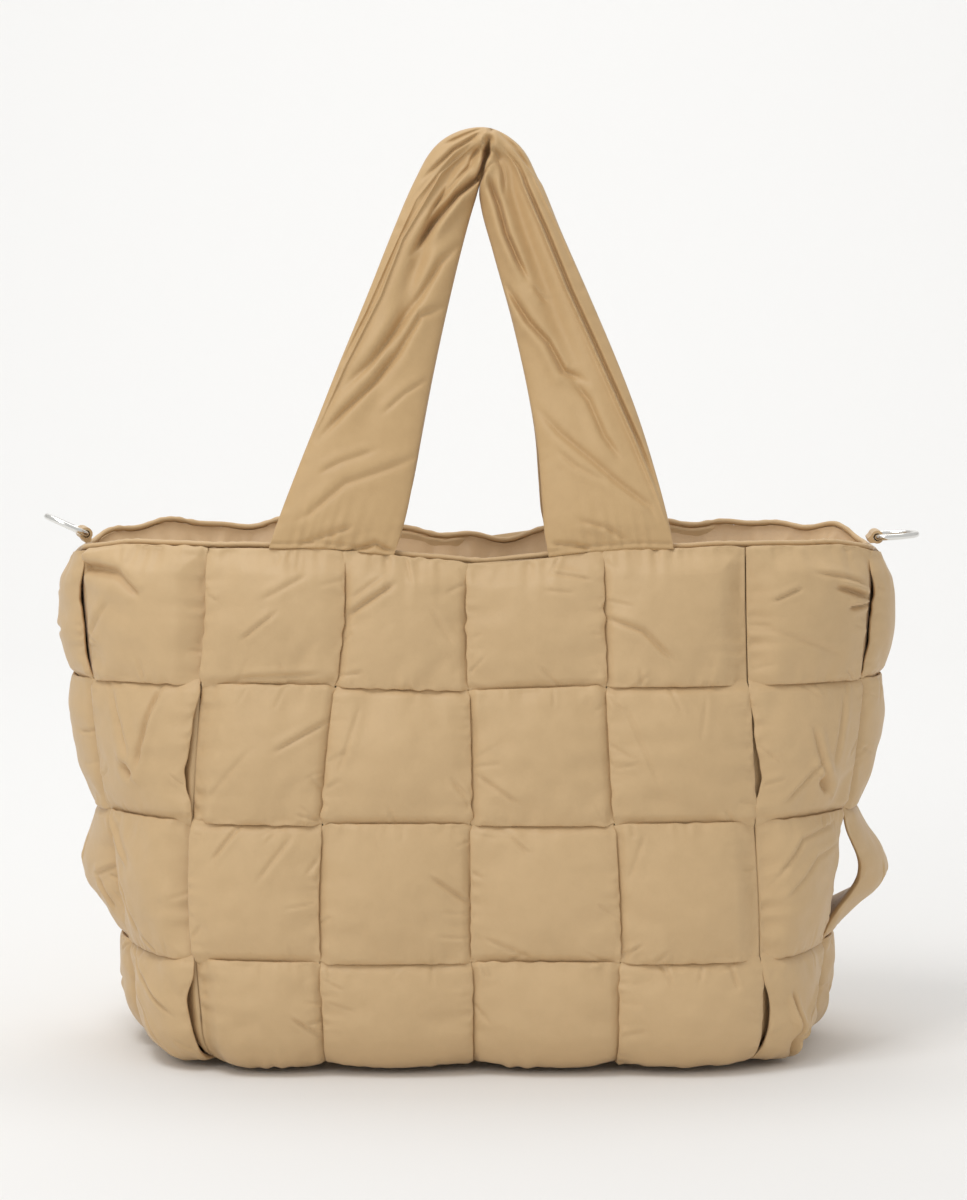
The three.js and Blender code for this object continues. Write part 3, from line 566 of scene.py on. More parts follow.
def padded_strip(name, stops, over, half, borders, place, relief, shape=None, slit=None):
    """Rings along the strip. Each ring runs across the top from edge to edge and back across
    the underside. The folded edge has a height of its own, the top rises above it by the crown,
    relief and puckers, and the underside hangs below it by the padding."""
    random = np.random.default_rng([sum(map(ord, name)), len(name)])
    first, last = stops[0], stops[-1]
    along = np.concatenate([np.linspace(a, b, (ALONG_TOP if up else ALONG_UNDER) + 1)[(k > 0):]
                            for k, (a, b, up) in enumerate(zip(stops[:-1], stops[1:], over))])
    t = np.arange(ACROSS_TOP + 1) / ACROSS_TOP
    top = 0.6 * (2 * t - 1) - 0.4 * np.cos(np.pi * t)
    under = np.cos(np.pi * np.arange(ACROSS_UNDER + 1) / ACROSS_UNDER)
    b = np.concatenate([top, under])[None, :]
    face = np.concatenate([np.ones(len(top)), -np.ones(len(under))])[None, :]
    at = along[:, None] + 0 * b
    layer, squeeze = over_and_under(stops, over, at)
    top_here, from_line, share = on_top(stops, over, at)
    bulge, keep, twist = shape(at) if shape else (0, 1, 0)
    from_end = np.minimum(at - first, last - at)
    from_side = np.full(at.shape, 1e9)
    if borders[0]:
        from_side = np.minimum(from_side, (1 + b) * half)
    if borders[1]:
        from_side = np.minimum(from_side, (1 - b) * half)
    sewn = ease(np.minimum(from_end, from_side) / SEAM_RISE)
    end_sewn = ease(from_end / SEAM_RISE)
    width_share = 1 - np.abs(b)
    # the folded edge: high where the strip lies on top, and falling away where it has slipped under
    level = SEAM_TOP + (DIVE_TOP - SEAM_TOP) * sewn - EDGE
    high = level + (EDGE_STEP * ease(from_line / 6) + EDGE_ARCH * crown(share)) * sewn
    dived = ease(from_line / 11)
    low = level + (-LAYER * end_sewn - level) * dived
    fold_height = np.where(top_here, high, low) + bulge
    # the padding above and below that edge
    rounded = np.sqrt(np.maximum(0, 1 - np.abs(b) ** 2.6))
    swell = CROWN_HEIGHT * crown(share) * crown(width_share) * (0.55 + 0.45 * sewn)
    filled = np.where(top_here, swell, (PAD - EDGE) * rounded * dived * end_sewn)
    roll = 0.5 * np.exp(-width_share * half / 1.1) * top_here
    sunk = layer * (SEAM_LAYER + (LAYER - SEAM_LAYER) * sewn) + bulge
    sunk = sunk - (SEAM_PAD + (PAD * (1 - PINCH * squeeze) - SEAM_PAD) * end_sewn)
    belly = np.maximum(0, fold_height - EDGE - sunk) * rounded
    # puckers run in from both free edges and from the sewn ends, where the strip is on top
    from_edge = width_share * half
    edge_wave = np.where(b < 0, ripple(at, random, 5, 12), ripple(at, random, 5, 12))
    seam_wave = ripple(b * half, random, 7, 14)
    pucker = 0.65 * edge_wave * np.exp(-from_edge / 4) * np.minimum(1, from_edge / 1.5)
    pucker = pucker + 1.1 * seam_wave * np.exp(-from_end / 11) * rounded * ease(from_end / 3)
    side_wave = ripple(at, random, 7, 14)
    pucker = pucker + 1.1 * side_wave * np.exp(-from_side / 11) * ease(from_side / 3)
    outer = fold_height + EDGE + filled - roll + top_here * (pucker + relief(at, b))
    inner = fold_height - EDGE - belly
    out = np.where(face > 0, outer, inner)
    overhang = OVERHANG * top_here * ease(from_line / 5) * np.abs(b) ** 3
    wiggle = 0.35 * ripple(at, random, 9, 20) * np.abs(b) ** 8
    drawn_in = slit(at, b) if slit else 0
    across = b * (half - drawn_in) * keep + np.sign(b) * (overhang + wiggle)
    level_out = out - bulge
    out = bulge + level_out * np.cos(twist) + across * np.sin(twist)
    across = across * np.cos(twist) - level_out * np.sin(twist)
    rings = place(at, across, out)
    around = np.concatenate([b[0] * half, [-half]])
    around[len(top):] = 2 * half - around[len(top):]
    cloth = np.stack(np.broadcast_arrays(around[None, :], along[:, None]), -1)
    return tube(name, rings, cloth)


print("strip maker ready")

# %% [markdown]
# ## Weave the four panels
#
# The weave is a chessboard: an upright lies over its band where column and row add up to an even
# number. The four panels are sewn together at the corners of the bag. On a real bag the seams
# between the strips are never quite straight, so a small table shifts them by a few millimetres
# on the front, and because it shifts the cloth itself, neighbours still fit together.

# %% Uneven seams of the front
WANDER_AT = [-246, -164, -82, 0, 82, 164, 246]
WANDER_ROUND = [[0, 3, 3, -6, -7, -3, 0], [0, -4, -5, -4, -4, -1, 0],
                [0, -5, -9, -3, -1, 3, 0], [0, 0, -5, -3, 0, 4, 0]]


def wander(girth, down):
    """How far the cloth is shifted round the girth: a smooth surface through the table's
    columns, one per seam, and its rows, one per row of the weave."""
    rows = np.stack([through(WANDER_AT, row, np.clip(girth, -246, 246)) for row in WANDER_ROUND])
    return through([41, 123, 205, 283], rows, np.clip(down, 41, 283))


# %% Uprights and bands
PANELS = [("front", -FRONT_HALF, FRONT_STRIPS, 0), ("right", FRONT_HALF, SIDE_STRIPS, 1),
          ("back", GIRTH_HALF - FRONT_HALF, FRONT_STRIPS, 0),
          ("left", -FRONT_HALF - 2 * END_HALF, SIDE_STRIPS, 1)]
# an upright that stands away from the wall in one row: the row, how far out and how much narrower
# as shares of the strip's width, and how many degrees it is twisted
LOOPS = {("right", 1): (2, 0.24, 0.42, 20), ("left", 1): (2, 0.11, 0.08, -20)}
# panel and column of an upright, the side that is drawn in, from and to (in rows down), by how much
SLITS = [("left", 1, 1, 0.1, 1.0, 6), ("left", 2, 1, 1.05, 1.97, 8), ("left", 2, 1, 3.0, 3.95, 11),
         ("right", 0, -1, 1.05, 1.97, 8), ("right", 0, -1, 3.0, 3.9, 10), ("right", 1, -1, 0.1, 0.9, 6),
         ("right", 0, 1, 3.1, 3.8, 5), ("left", 2, -1, 3.1, 3.8, 5), ("left", 1, 1, 2.3, 2.9, 3)]


def place_on_bag(girth, down, out):
    """The cloth's place after its seams have wandered."""
    return on_wall(girth + wander(girth, down), down, out)


def upright(panel, start, column, odd):
    """An upright strip: its length runs down the wall, its width along the girth."""
    middle = start + (column + 0.5) * STRIP_PITCH
    half = (STRIP_PITCH - GAP) / 2
    over = [(column + row + odd) % 2 == 0 for row in range(ROWS)]
    stops = [GAP / 2, *ROW_TOPS[1:-1], WALL_LENGTH - GAP / 2]

    def relief(at, b):
        total = 0
        for row in range(ROWS):
            if over[row]:
                low, high = ROW_TOPS[row], ROW_TOPS[row + 1]
                here = (at >= low) & (at < high)
                total = total + here * square_relief(panel, column, row, (1 + b) * half,
                                                     np.clip(at, low, high) - low, 2 * half, high - low)
        return total

    def loop(at):
        """A length that stands away from the wall and is folded narrower: a squared sine."""
        row, bulge, narrow, twist = LOOPS[(panel, column)]
        t = (at - ROW_TOPS[row]) / (ROW_TOPS[row + 1] - ROW_TOPS[row])
        rise = np.where((t > 0) & (t < 1), np.sin(np.pi * t) ** 2, 0)
        return bulge * STRIP_PITCH * rise, 1 - narrow * rise, math.radians(twist) * rise

    def slit(at, b):
        """How far a free edge is drawn in where a dark slit shows beside it: a flat-topped
        bump with a slow wave in it."""
        total = 0
        for where, number, side, start, end, width in SLITS:
            if (where, number) == (panel, column):
                t = (at / ROW_PITCH - start) / (end - start)
                bump = ease(3 * t) * ease(3 * (1 - t)) * (1 + 0.35 * np.sin(9 * t + width))
                total = total + width / 2 * bump * ease(side * b)
        return total

    return padded_strip(f"{panel}_upright_{column + 1}_cloth", stops, over, half, (False, False),
                        lambda at, across, out: place_on_bag(middle + across, at, out),
                        relief, loop if (panel, column) in LOOPS else None, slit)


def band(panel, start, columns, row, odd):
    """A level band: its length runs along the girth, its width down the wall."""
    middle = (ROW_TOPS[row] + ROW_TOPS[row + 1]) / 2
    half = (ROW_TOPS[row + 1] - ROW_TOPS[row] - GAP) / 2
    edges = [start + k * STRIP_PITCH for k in range(columns + 1)]
    over = [(column + row + odd) % 2 == 1 for column in range(columns)]
    stops = [edges[0] + GAP / 2, *edges[1:-1], edges[-1] - GAP / 2]

    def relief(at, b):
        total = 0
        for column in range(columns):
            if over[column]:
                here = (at >= edges[column]) & (at < edges[column + 1])
                x = np.clip(at, edges[column], edges[column + 1]) - edges[column]
                total = total + here * square_relief(panel, column, row, x, (1 + b) * half,
                                                     STRIP_PITCH, 2 * half)
        return total

    return padded_strip(f"{panel}_band_{row + 1}_cloth", stops, over, half, (row == 0, row == ROWS - 1),
                        lambda at, across, out: place_on_bag(at, middle + across, out), relief)


strips = []
for panel, start, columns, odd in PANELS:
    strips += [upright(panel, start, column, odd) for column in range(columns)]
    strips += [band(panel, start, columns, row, odd) for row in range(ROWS)]
for piece in strips:
    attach(piece, "bag")
    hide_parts(piece.name.removesuffix("_cloth"))
print("strips", len(strips), "with", sum(len(p.data.polygons) for p in strips), "faces")

# %% [markdown]
# ## The two handles
#
# Each handle is one wide padded strap that is sewn to the rim at both ends. The two lean together
# above the mouth, and at the top both are gathered into a knot of folds. A table follows the strap
# from its left end over the top to its right end: where its middle is, how wide and thick it is,
# and how deep its lengthwise fold. The strap's width lies across its own line, except at the sewn
# ends, where it lies level with the rim.

# %% Table of the handle
STRAP_WIDTH, STRAP_THICKNESS = 75, 15
HANDLE_RISE, HANDLE_SPREAD = 236, 168
# rise, left leg, right leg, width, thickness, lean, fold, square
LEGS = np.array([
    (0.0, 1.04, 0.96, 1.0, 0.16, 0.0, 0, 1), (0.022, 1.02, 0.95, 1.0, 0.22, 0.0, 0, 1),
    (0.06, 0.985, 0.93, 1.0, 0.85, 0.045, 0, 1), (0.14, 0.91, 0.89, 0.95, 1.05, 0.12, 0, 0.7),
    (0.28, 0.79, 0.81, 0.85, 1.15, 0.26, 0.05, 0.3), (0.43, 0.664, 0.69, 0.76, 1.3, 0.42, 0.2, 0),
    (0.6, 0.516, 0.535, 0.66, 1.45, 0.59, 0.35, 0), (0.77, 0.365, 0.365, 0.58, 1.55, 0.76, 0.4, 0),
    (0.9, 0.235, 0.245, 0.52, 1.6, 0.9, 0.38, 0)])
# rise, place right of the bag's middle, width, thickness, lean, fold
CROWN = np.array([(0.973, -0.13, 0.47, 1.55, 0.97, 0.3), (1.0, 0.05, 0.42, 1.45, 1, 0.4),
                  (0.975, 0.2, 0.37, 1.5, 0.97, 0.3)])


def handle_rows():
    """The table as one list of rows from the left foot over the crown to the right foot: rise,
    place, width, thickness, lean, fold, square."""
    left = np.stack([LEGS[:, 0], -LEGS[:, 1], *LEGS[:, 3:].T], -1)
    right = np.stack([LEGS[:, 0], LEGS[:, 2], *LEGS[:, 3:].T], -1)[::-1]
    crown = np.hstack([CROWN, np.zeros((len(CROWN), 1))])
    return np.vstack([left, crown, right])


HANDLE_FOLD_STRENGTH = 1.35
# each line as places right of the bag's middle and above the rim, then depth and half width;
# a negative depth is a raised seam
HANDLE_FOLDS = [
    ([(7, 250), (-23, 223), (-46, 184), (-59, 150), (-80, 108), (-94, 76), (-104, 58)], -1.3, 1.8),
    ([(-12, 240), (-38, 208), (-55, 170), (-68, 140), (-84, 108)], -0.7, 1.6),
    ([(-40, 175), (-27, 194), (-13, 211), (-1, 220), (7, 235), (8, 250)], 5.5, 4.5),
    ([(7, 247), (-7, 229)], 1.6, 2.5), ([(2, 238), (-13, 220), (-29, 200)], 1.4, 2.6),
    ([(-18, 217), (-32, 193)], 0.8, 2),
    ([(-10, 182), (-23, 170), (-35, 150), (-50, 129), (-65, 110), (-80, 96)], 2.4, 6),
    ([(-18, 144), (-35, 138), (-48, 116), (-62, 99), (-80, 82), (-96, 64)], 2.2, 5),
    ([(-34, 57), (-55, 49), (-79, 40), (-100, 21), (-109, 16)], 1.2, 5),
    ([(-106, 2), (-88, 9), (-73, 16)], 1.4, 4), ([(-82, -3), (-61, 6), (-50, 2)], 2, 3.5),
    ([(9, 250), (22, 232), (39, 193), (54, 156), (69, 123), (81, 96), (95, 64), (107, 34), (115, 12)],
     -1.4, 1.8),
    ([(12, 246), (26, 228), (43, 189), (58, 152), (73, 119), (85, 92), (99, 60), (110, 32)], 2.4, 2.6),
    ([(18, 245), (35, 221), (51, 189), (65, 156)], -0.7, 1.6),
    ([(6, 225), (14, 205), (19, 187), (26, 171), (32, 159)], 3.8, 4.5),
    ([(17, 158), (32, 135), (44, 122), (53, 105), (67, 99)], 3, 5),
    ([(57, 101), (68, 88), (77, 67), (87, 53)], 1.8, 5),
    ([(36, 84), (50, 70), (68, 55), (86, 39), (104, 25), (109, 13)], 1.7, 5.5),
    ([(35, 156), (43, 146)], 0.9, 3), ([(44, 8), (59, 5), (69, 1)], 1.5, 3.5),
    ([(9, 248), (5, 232), (2, 215)], 4.5, 4), ([(9, 250), (16, 226), (18, 210)], 1.6, 3),
    ([(8, 252), (-16, 238), (-34, 220)], 1.6, 2.6), ([(8, 253), (-8, 247), (-22, 241)], 1.4, 2.4),
    ([(10, 252), (24, 240), (34, 224)], 1.5, 2.6), ([(9, 256), (9, 250)], 3.5, 3),
    ([(-60, 60), (-82, 52), (-96, 44)], 0.8, 3.5), ([(-30, 100), (-44, 92), (-58, 80)], 0.8, 3.5),
    ([(48, 60), (60, 50), (78, 40)], 0.8, 3.5), ([(60, 20), (78, 14), (92, 4)], 1.1, 3.5),
]


def handle(name, facing, along=470, around=180):
    """Sections across the strap's own line, spaced evenly along it. A section is a flattened
    oval with a valley in its upper face for the lengthwise fold, and the folds of the table are
    pressed into that face where they lie in front view."""
    rows = handle_rows()
    spread = HANDLE_SPREAD / 2
    reach = (STRAP_THICKNESS * LEGS[:, 4].max() + 0.8) / 2
    foot = RIM_HEIGHT + 0.3
    rim = {place: on_wall(spread * place, 0.0, 2.4)[1] for place in (-LEGS[0, 1], 0, LEGS[0, 2])}
    left_y, middle_y, right_y = (rim[place] for place in (-LEGS[0, 1], 0, LEGS[0, 2]))
    rim_y = np.array([left_y] * len(LEGS) + [middle_y] * len(CROWN) + [right_y] * len(LEGS))
    middle = np.stack([spread * rows[:, 1], facing * (-rim_y + (reach + rim_y) * rows[:, 4]),
                       foot + HANDLE_RISE * rows[:, 0]], -1)
    knots = np.concatenate([[0], np.cumsum(np.linalg.norm(np.diff(middle, axis=0), axis=1))])
    s = np.linspace(0, knots[-1], along)

    def follow(values, at):
        return through(knots, values, at)

    point = np.stack([follow(middle[:, k], s) for k in range(3)], -1)
    ahead = np.stack([follow(middle[:, k], np.minimum(s + 4, knots[-1])) for k in range(3)], -1)
    behind = np.stack([follow(middle[:, k], np.maximum(s - 4, 0)) for k in range(3)], -1)
    line = ahead - behind
    line /= np.linalg.norm(line, axis=1, keepdims=True)
    width, thickness, fold, square = (follow(rows[:, k], s) for k in (2, 3, 5, 6))
    across = -facing * np.cross([0, facing, 0], line)
    across /= np.linalg.norm(across, axis=1, keepdims=True)
    level = np.stack([np.where(across[:, 0] < 0, -1.0, 1.0), 0 * s, 0 * s], -1)
    across = across + (level - across) * np.clip(square, 0, 1)[:, None]
    across /= np.linalg.norm(across, axis=1, keepdims=True)
    face = np.cross(across, line)
    face /= np.linalg.norm(face, axis=1, keepdims=True)
    face *= np.where(face[:, 1] * facing < 0, -1, 1)[:, None]
    # three quarters of the points lie on the upper face
    share = np.arange(around) / around
    turn = np.pi * np.where(share < 0.75, share / 0.75, 1 + (share - 0.75) / 0.25)
    b = -np.cos(turn)[None, :]
    up = np.where(turn <= np.pi, 1.0, -1.0)[None, :]
    half = (STRAP_WIDTH * width / 2)[:, None]
    pad = (STRAP_THICKNESS * np.clip(thickness, 0.1, 9) / 2)[:, None]
    oval = np.abs(np.sin(turn))[None, :] ** 0.75
    valley = 2 * fold[:, None] * STRAP_THICKNESS / 2 * np.exp(-(((b - 0.05) / 0.24) ** 2)) * (up > 0)
    height = up * (0.5 + (pad - 0.5) * oval) - valley
    x = point[:, None, 0] + b * half * across[:, None, 0]
    above = point[:, None, 2] + b * half * across[:, None, 2] + height * face[:, None, 2] - foot
    pressed = sum(crease(line, x, above, depth, half_width) for line, depth, half_width in HANDLE_FOLDS)
    random = np.random.default_rng(3)
    from_foot = np.minimum(s, knots[-1] - s)[:, None]
    gathers = 0.9 * ripple(b * half, random, 5, 11) * np.exp(-from_foot / 14) * ease(from_foot / 3)
    edge_distance = (1 - np.abs(b)) * half
    gathers = gathers + 0.35 * ripple(s[:, None] + 0 * b, random, 8, 18) * np.exp(-edge_distance / 5)
    sewn_line = -1.1 * np.exp(-(((from_foot - 3.2) / 0.9) ** 2))
    inside = (up > 0) * ease(np.abs(np.sin(turn))[None, :] * 2.5)
    height = height + (HANDLE_FOLD_STRENGTH * pressed + gathers + sewn_line) * inside
    rings = point[:, None] + (b * half)[..., None] * across[:, None] + height[..., None] * face[:, None]
    place = rings[..., 0] if facing < 0 else GIRTH_HALF - rings[..., 0]
    rings[..., 2] -= rim_dip(place) * np.clip(square, 0, 1)[:, None]
    around_mm = np.concatenate([turn, [2 * np.pi]]) * STRAP_WIDTH / np.pi
    cloth = np.stack(np.broadcast_arrays(around_mm[None, :], s[:, None]), -1)
    piece = tube(name, rings, cloth)
    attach(piece, "bag")
    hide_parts(name.removesuffix("_cloth"))
    return piece


handles = [handle("front_handle_cloth", -1), handle("back_handle_cloth", 1)]
print("handles", [len(h.data.polygons) for h in handles])

# %% [markdown]
# ## Lining and hem
#
# The lining is a plain bag of thin nylon that hangs inside the woven wall and lies on the base.
# It is a single sheet, a shade darker than the shell, so it is modelled as one sheet, gathered
# along the rim into small folds that open out further down. The hem is a narrow roll of the same
# cloth that binds strips and lining together round the mouth.

# %% Lining
LINING_BEHIND, LINING_TOP_BEHIND, LINING_TOP = 15.4, 4.2, 0.1
# place round the girth, how far down the fold reaches, how far it leans, depth, half width
LINING_FOLDS = [(722, 90, 0, 3, 5), (417, 90, 0, 3, 5), (735, 60, 40, 4, 9), (760, 50, -30, 3, 8),
                (700, 70, -25, 3, 8), (395, 60, -30, 4, 8), (370, 45, 25, 4, 8), (340, 50, -20, 4, 9),
                (560, 60, 30, 2.5, 8), (610, 50, -25, 2, 7)]
BASE_THICKNESS = 13
lining_random = np.random.default_rng(21)


def sheet_mesh(name, grid, cloth):
    """An open mesh from a grid that closes round but not up and down, plus one last ring drawn
    together to the middle of the floor."""
    rows, around = grid.shape[:2]
    index = np.arange(rows * around).reshape(rows, around)
    here, there = index[:-1], index[1:]
    quads = np.stack([here, there, np.roll(there, -1, 1), np.roll(here, -1, 1)], -1).reshape(-1, 4)
    mesh = bpy.data.meshes.new(name)
    mesh.from_pydata((grid.reshape(-1, 3) * MM).tolist(), [], quads.tolist() + [index[-1].tolist()])
    mesh.polygons.foreach_set("use_smooth", np.ones(len(mesh.polygons), bool))
    u = cloth * MM
    corners = np.stack([u[:-1, :-1], u[1:, :-1], u[1:, 1:], u[:-1, 1:]], 2).reshape(-1, 2)
    whole = np.zeros((len(mesh.loops), 2))
    whole[:len(corners)] = corners
    mesh.uv_layers.new(name="cloth").data.foreach_set("uv", whole.ravel())
    mesh.update()
    piece = bpy.data.objects.new(name, mesh)
    bpy.context.scene.collection.objects.link(piece)
    return piece


girth = np.arange(480) / 480 * 2 * GIRTH_HALF
down = np.concatenate([np.linspace(LINING_TOP, 40, 26), np.linspace(44, WALL_LENGTH, 80)])
hang = ease((down - LINING_TOP) / SEAM_RISE)
behind = LINING_TOP_BEHIND + (LINING_BEHIND - LINING_TOP_BEHIND) * hang
gathers = ripple(girth, lining_random, 9, 22)[None, :] * np.exp(-down / 26)[:, None]
drapes = ripple(girth, lining_random, 50, 130)[None, :] * ease(down / 60)[:, None] * 1.6
slack = ease(down / 12)[:, None] * (1.0 + 1.6 * gathers) + 1.4 * (1 + drapes) * ease(down / 40)[:, None]
for place, low, lean, depth, half_width in LINING_FOLDS:
    line = [(place, 2), (place + lean, low)]
    slack = slack + np.maximum(0, -crease(line, girth[None, :], down[:, None], depth, half_width))
inwards = behind[:, None] + 0.6 + np.maximum(0, slack)
walls = on_wall(girth[None, :], down[:, None], -inwards, STRIP_PITCH / 2)
floor_height = BASE_THICKNESS + GAP + 0.8
shares = np.array([0.93, 0.8, 0.6, 0.4, 0.2, 0.06])
edge_ring = walls[-1]
floor_rings = edge_ring[None] * shares[:, None, None]
settled = np.maximum(0, shares - 0.8)[:, None] * 2
floor_rings[..., 2] = floor_height + (edge_ring[None, :, 2] - floor_height) * settled
walls[..., 2] = np.maximum(walls[..., 2], floor_height)
lining_grid = np.concatenate([walls, floor_rings])
lining_cloth = np.stack(np.broadcast_arrays(
    np.concatenate([girth, [2 * GIRTH_HALF]])[None, :],
    np.concatenate([down, WALL_LENGTH + 90 * (1 - shares)])[:, None]), -1)
lining = sheet_mesh("lining_cloth_sheet", lining_grid, lining_cloth)


# %% Hem
def rim_hem(around=720, sides=16):
    """A flattened roll that stands on the lining's top edge. Its height and width ripple, as a
    gathered binding does."""
    random = np.random.default_rng(8)
    place = np.arange(around) / around * 2 * GIRTH_HALF
    turn = 2 * np.pi * np.arange(sides) / sides
    pinch = 0.5 * ripple(place, random, 5, 11)
    sway = 0.5 * ripple(place, random, 16, 60)
    x = np.cos(turn)[None, :] * (1.9 + 0.35 * pinch[:, None])
    z = 1.7 + np.sin(turn)[None, :] * (1.8 + 0.4 * pinch[:, None])
    out = -3.6 + x + sway[:, None]
    rings = on_wall(place[:, None], 0.0, out)
    rings[..., 2] += z
    cloth = np.stack(np.broadcast_arrays(np.arange(sides + 1)[None, :] * 1.0, place[:, None]), -1)
    return tube("rim_hem_cloth", rings, cloth, joined=True)


hem = rim_hem()
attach(hem, "bag")
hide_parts("rim_hem")
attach(lining, "bag")
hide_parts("lining")
print("hem faces", len(hem.data.polygons))

# %% [markdown]
# ## Base
#
# The bag stands on a padded panel that closes the weave from below. It can't be seen in the
# photograph, so it is a plain low cushion, with a rolled edge and a flat top.


# %% Base cushion
def base_cushion(around=360, rings_up=24):
    """The outline of the strips' lower ends, drawn in by 6.5 mm, swept along half an ellipse
    from the flat underside to the flat top."""
    place = np.arange(around) / around * 2 * GIRTH_HALF
    outline = on_wall(place, WALL_LENGTH, 0.0)
    outline *= (1 - 6.5 / np.hypot(outline[:, 0], outline[:, 1]))[:, None]
    turn = np.linspace(-np.pi / 2, np.pi / 2, rings_up)
    share = 0.86 + 0.14 * np.cos(turn)
    height = 6.5 + 6.5 * np.sin(turn)
    inner = np.array([0.05, 0.2, 0.4, 0.6, 0.75])
    shares = np.concatenate([inner, share, inner[::-1]])
    heights = np.concatenate([0 * inner, height, 13 + 0 * inner])
    rings = outline[None] * shares[:, None, None]
    rings[..., 2] = heights[:, None]
    across = np.hypot(outline[:, 0], outline[:, 1])
    cloth = np.stack(np.broadcast_arrays(np.concatenate([place, [2 * GIRTH_HALF]])[None, :],
                                         (across.mean() * shares)[:, None]), -1)
    return tube("base_panel_cloth", rings, cloth)


base = base_cushion()
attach(base, "bag")
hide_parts("base_panel")
print("base faces", len(base.data.polygons))

# %% [markdown]
# ## The D-rings
#
# Each D-ring is one piece of round steel wire, bent to a straight bar with a bow over it, and
# soldered shut in the bar. The bar turns in its cloth tab. The path of the wire's middle is a
# smooth closed curve, a circle is carried along it, and the ring is then raised and turned to
# where it lies on the bag.

# %% Wire rings
RING_WIRE, RING_WIDTH, RING_REACH, RING_CORNER = 3.8, 31, 29, 5.5
# side, middle of the bar in millimetres, how far the bow rises and the ring is turned in degrees
RINGS = [("right", (247.84, 0, 315.93), 3, 0), ("left", (-244.23, 0, 317.96), 25, 194)]


def d_ring(side, middle, raised, turned, sides=20):
    """Straight bar, quarter circle, half ellipse, quarter circle, with a circle of wire at right
    angles to the path at every point."""
    half = (RING_WIDTH - RING_WIRE) / 2
    straight = half - RING_CORNER
    reach = RING_REACH - RING_WIRE
    bar = np.linspace(-straight, straight, 12)[:-1]
    quarter = np.linspace(0, np.pi / 2, 12)[:-1]
    bow = np.linspace(0, np.pi, 60)
    x = np.concatenate([0 * bar, RING_CORNER * (1 - np.cos(quarter)),
                        RING_CORNER + (reach - RING_CORNER) * np.sin(bow),
                        RING_CORNER * (1 - np.cos(quarter[:0:-1]))])
    y = np.concatenate([bar, straight + RING_CORNER * np.sin(quarter), half * np.cos(bow),
                        -straight - RING_CORNER * np.sin(quarter[:0:-1])])
    path = np.stack([x, y, 0 * x], -1)
    line = np.roll(path, -1, 0) - np.roll(path, 1, 0)
    line /= np.linalg.norm(line, axis=1, keepdims=True)
    out = np.cross(line, [0, 0, 1])
    turn = 2 * np.pi * np.arange(sides) / sides
    radius = RING_WIRE / 2 - 0.02
    wire = path[:, None] + radius * (np.cos(turn)[None, :, None] * out[:, None]
                                     + np.sin(turn)[None, :, None] * np.array([0, 0, 1.0]))
    a, c = math.radians(raised), math.radians(turned)
    raise_up = np.array([[math.cos(a), 0, -math.sin(a)], [0, 1, 0], [math.sin(a), 0, math.cos(a)]])
    turn_round = np.array([[math.cos(c), -math.sin(c), 0], [math.sin(c), math.cos(c), 0], [0, 0, 1]])
    wire = wire @ (turn_round @ raise_up).T + np.array(middle)
    piece = tube(f"{side}_d_ring_wire", wire, joined=True)
    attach(piece, f"{side}_ring")
    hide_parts(f"{side}_d_ring")
    return piece


rings_of_bag = [d_ring(*row) for row in RINGS]
print("rings", [len(r.data.polygons) for r in rings_of_bag])

# %% [markdown]
# ## Cloth
#
# The shell is smooth, fine nylon with a soft sheen. Seen close it is a plain weave of thin
# threads, with faint crinkles a few millimetres across and slightly uneven colour. One node
# group makes all of that from two sets of coordinates, the cloth's own UV map for the threads and
# the object's for the unevenness, and each cloth places the group with its own colours.

# %% Node group for nylon


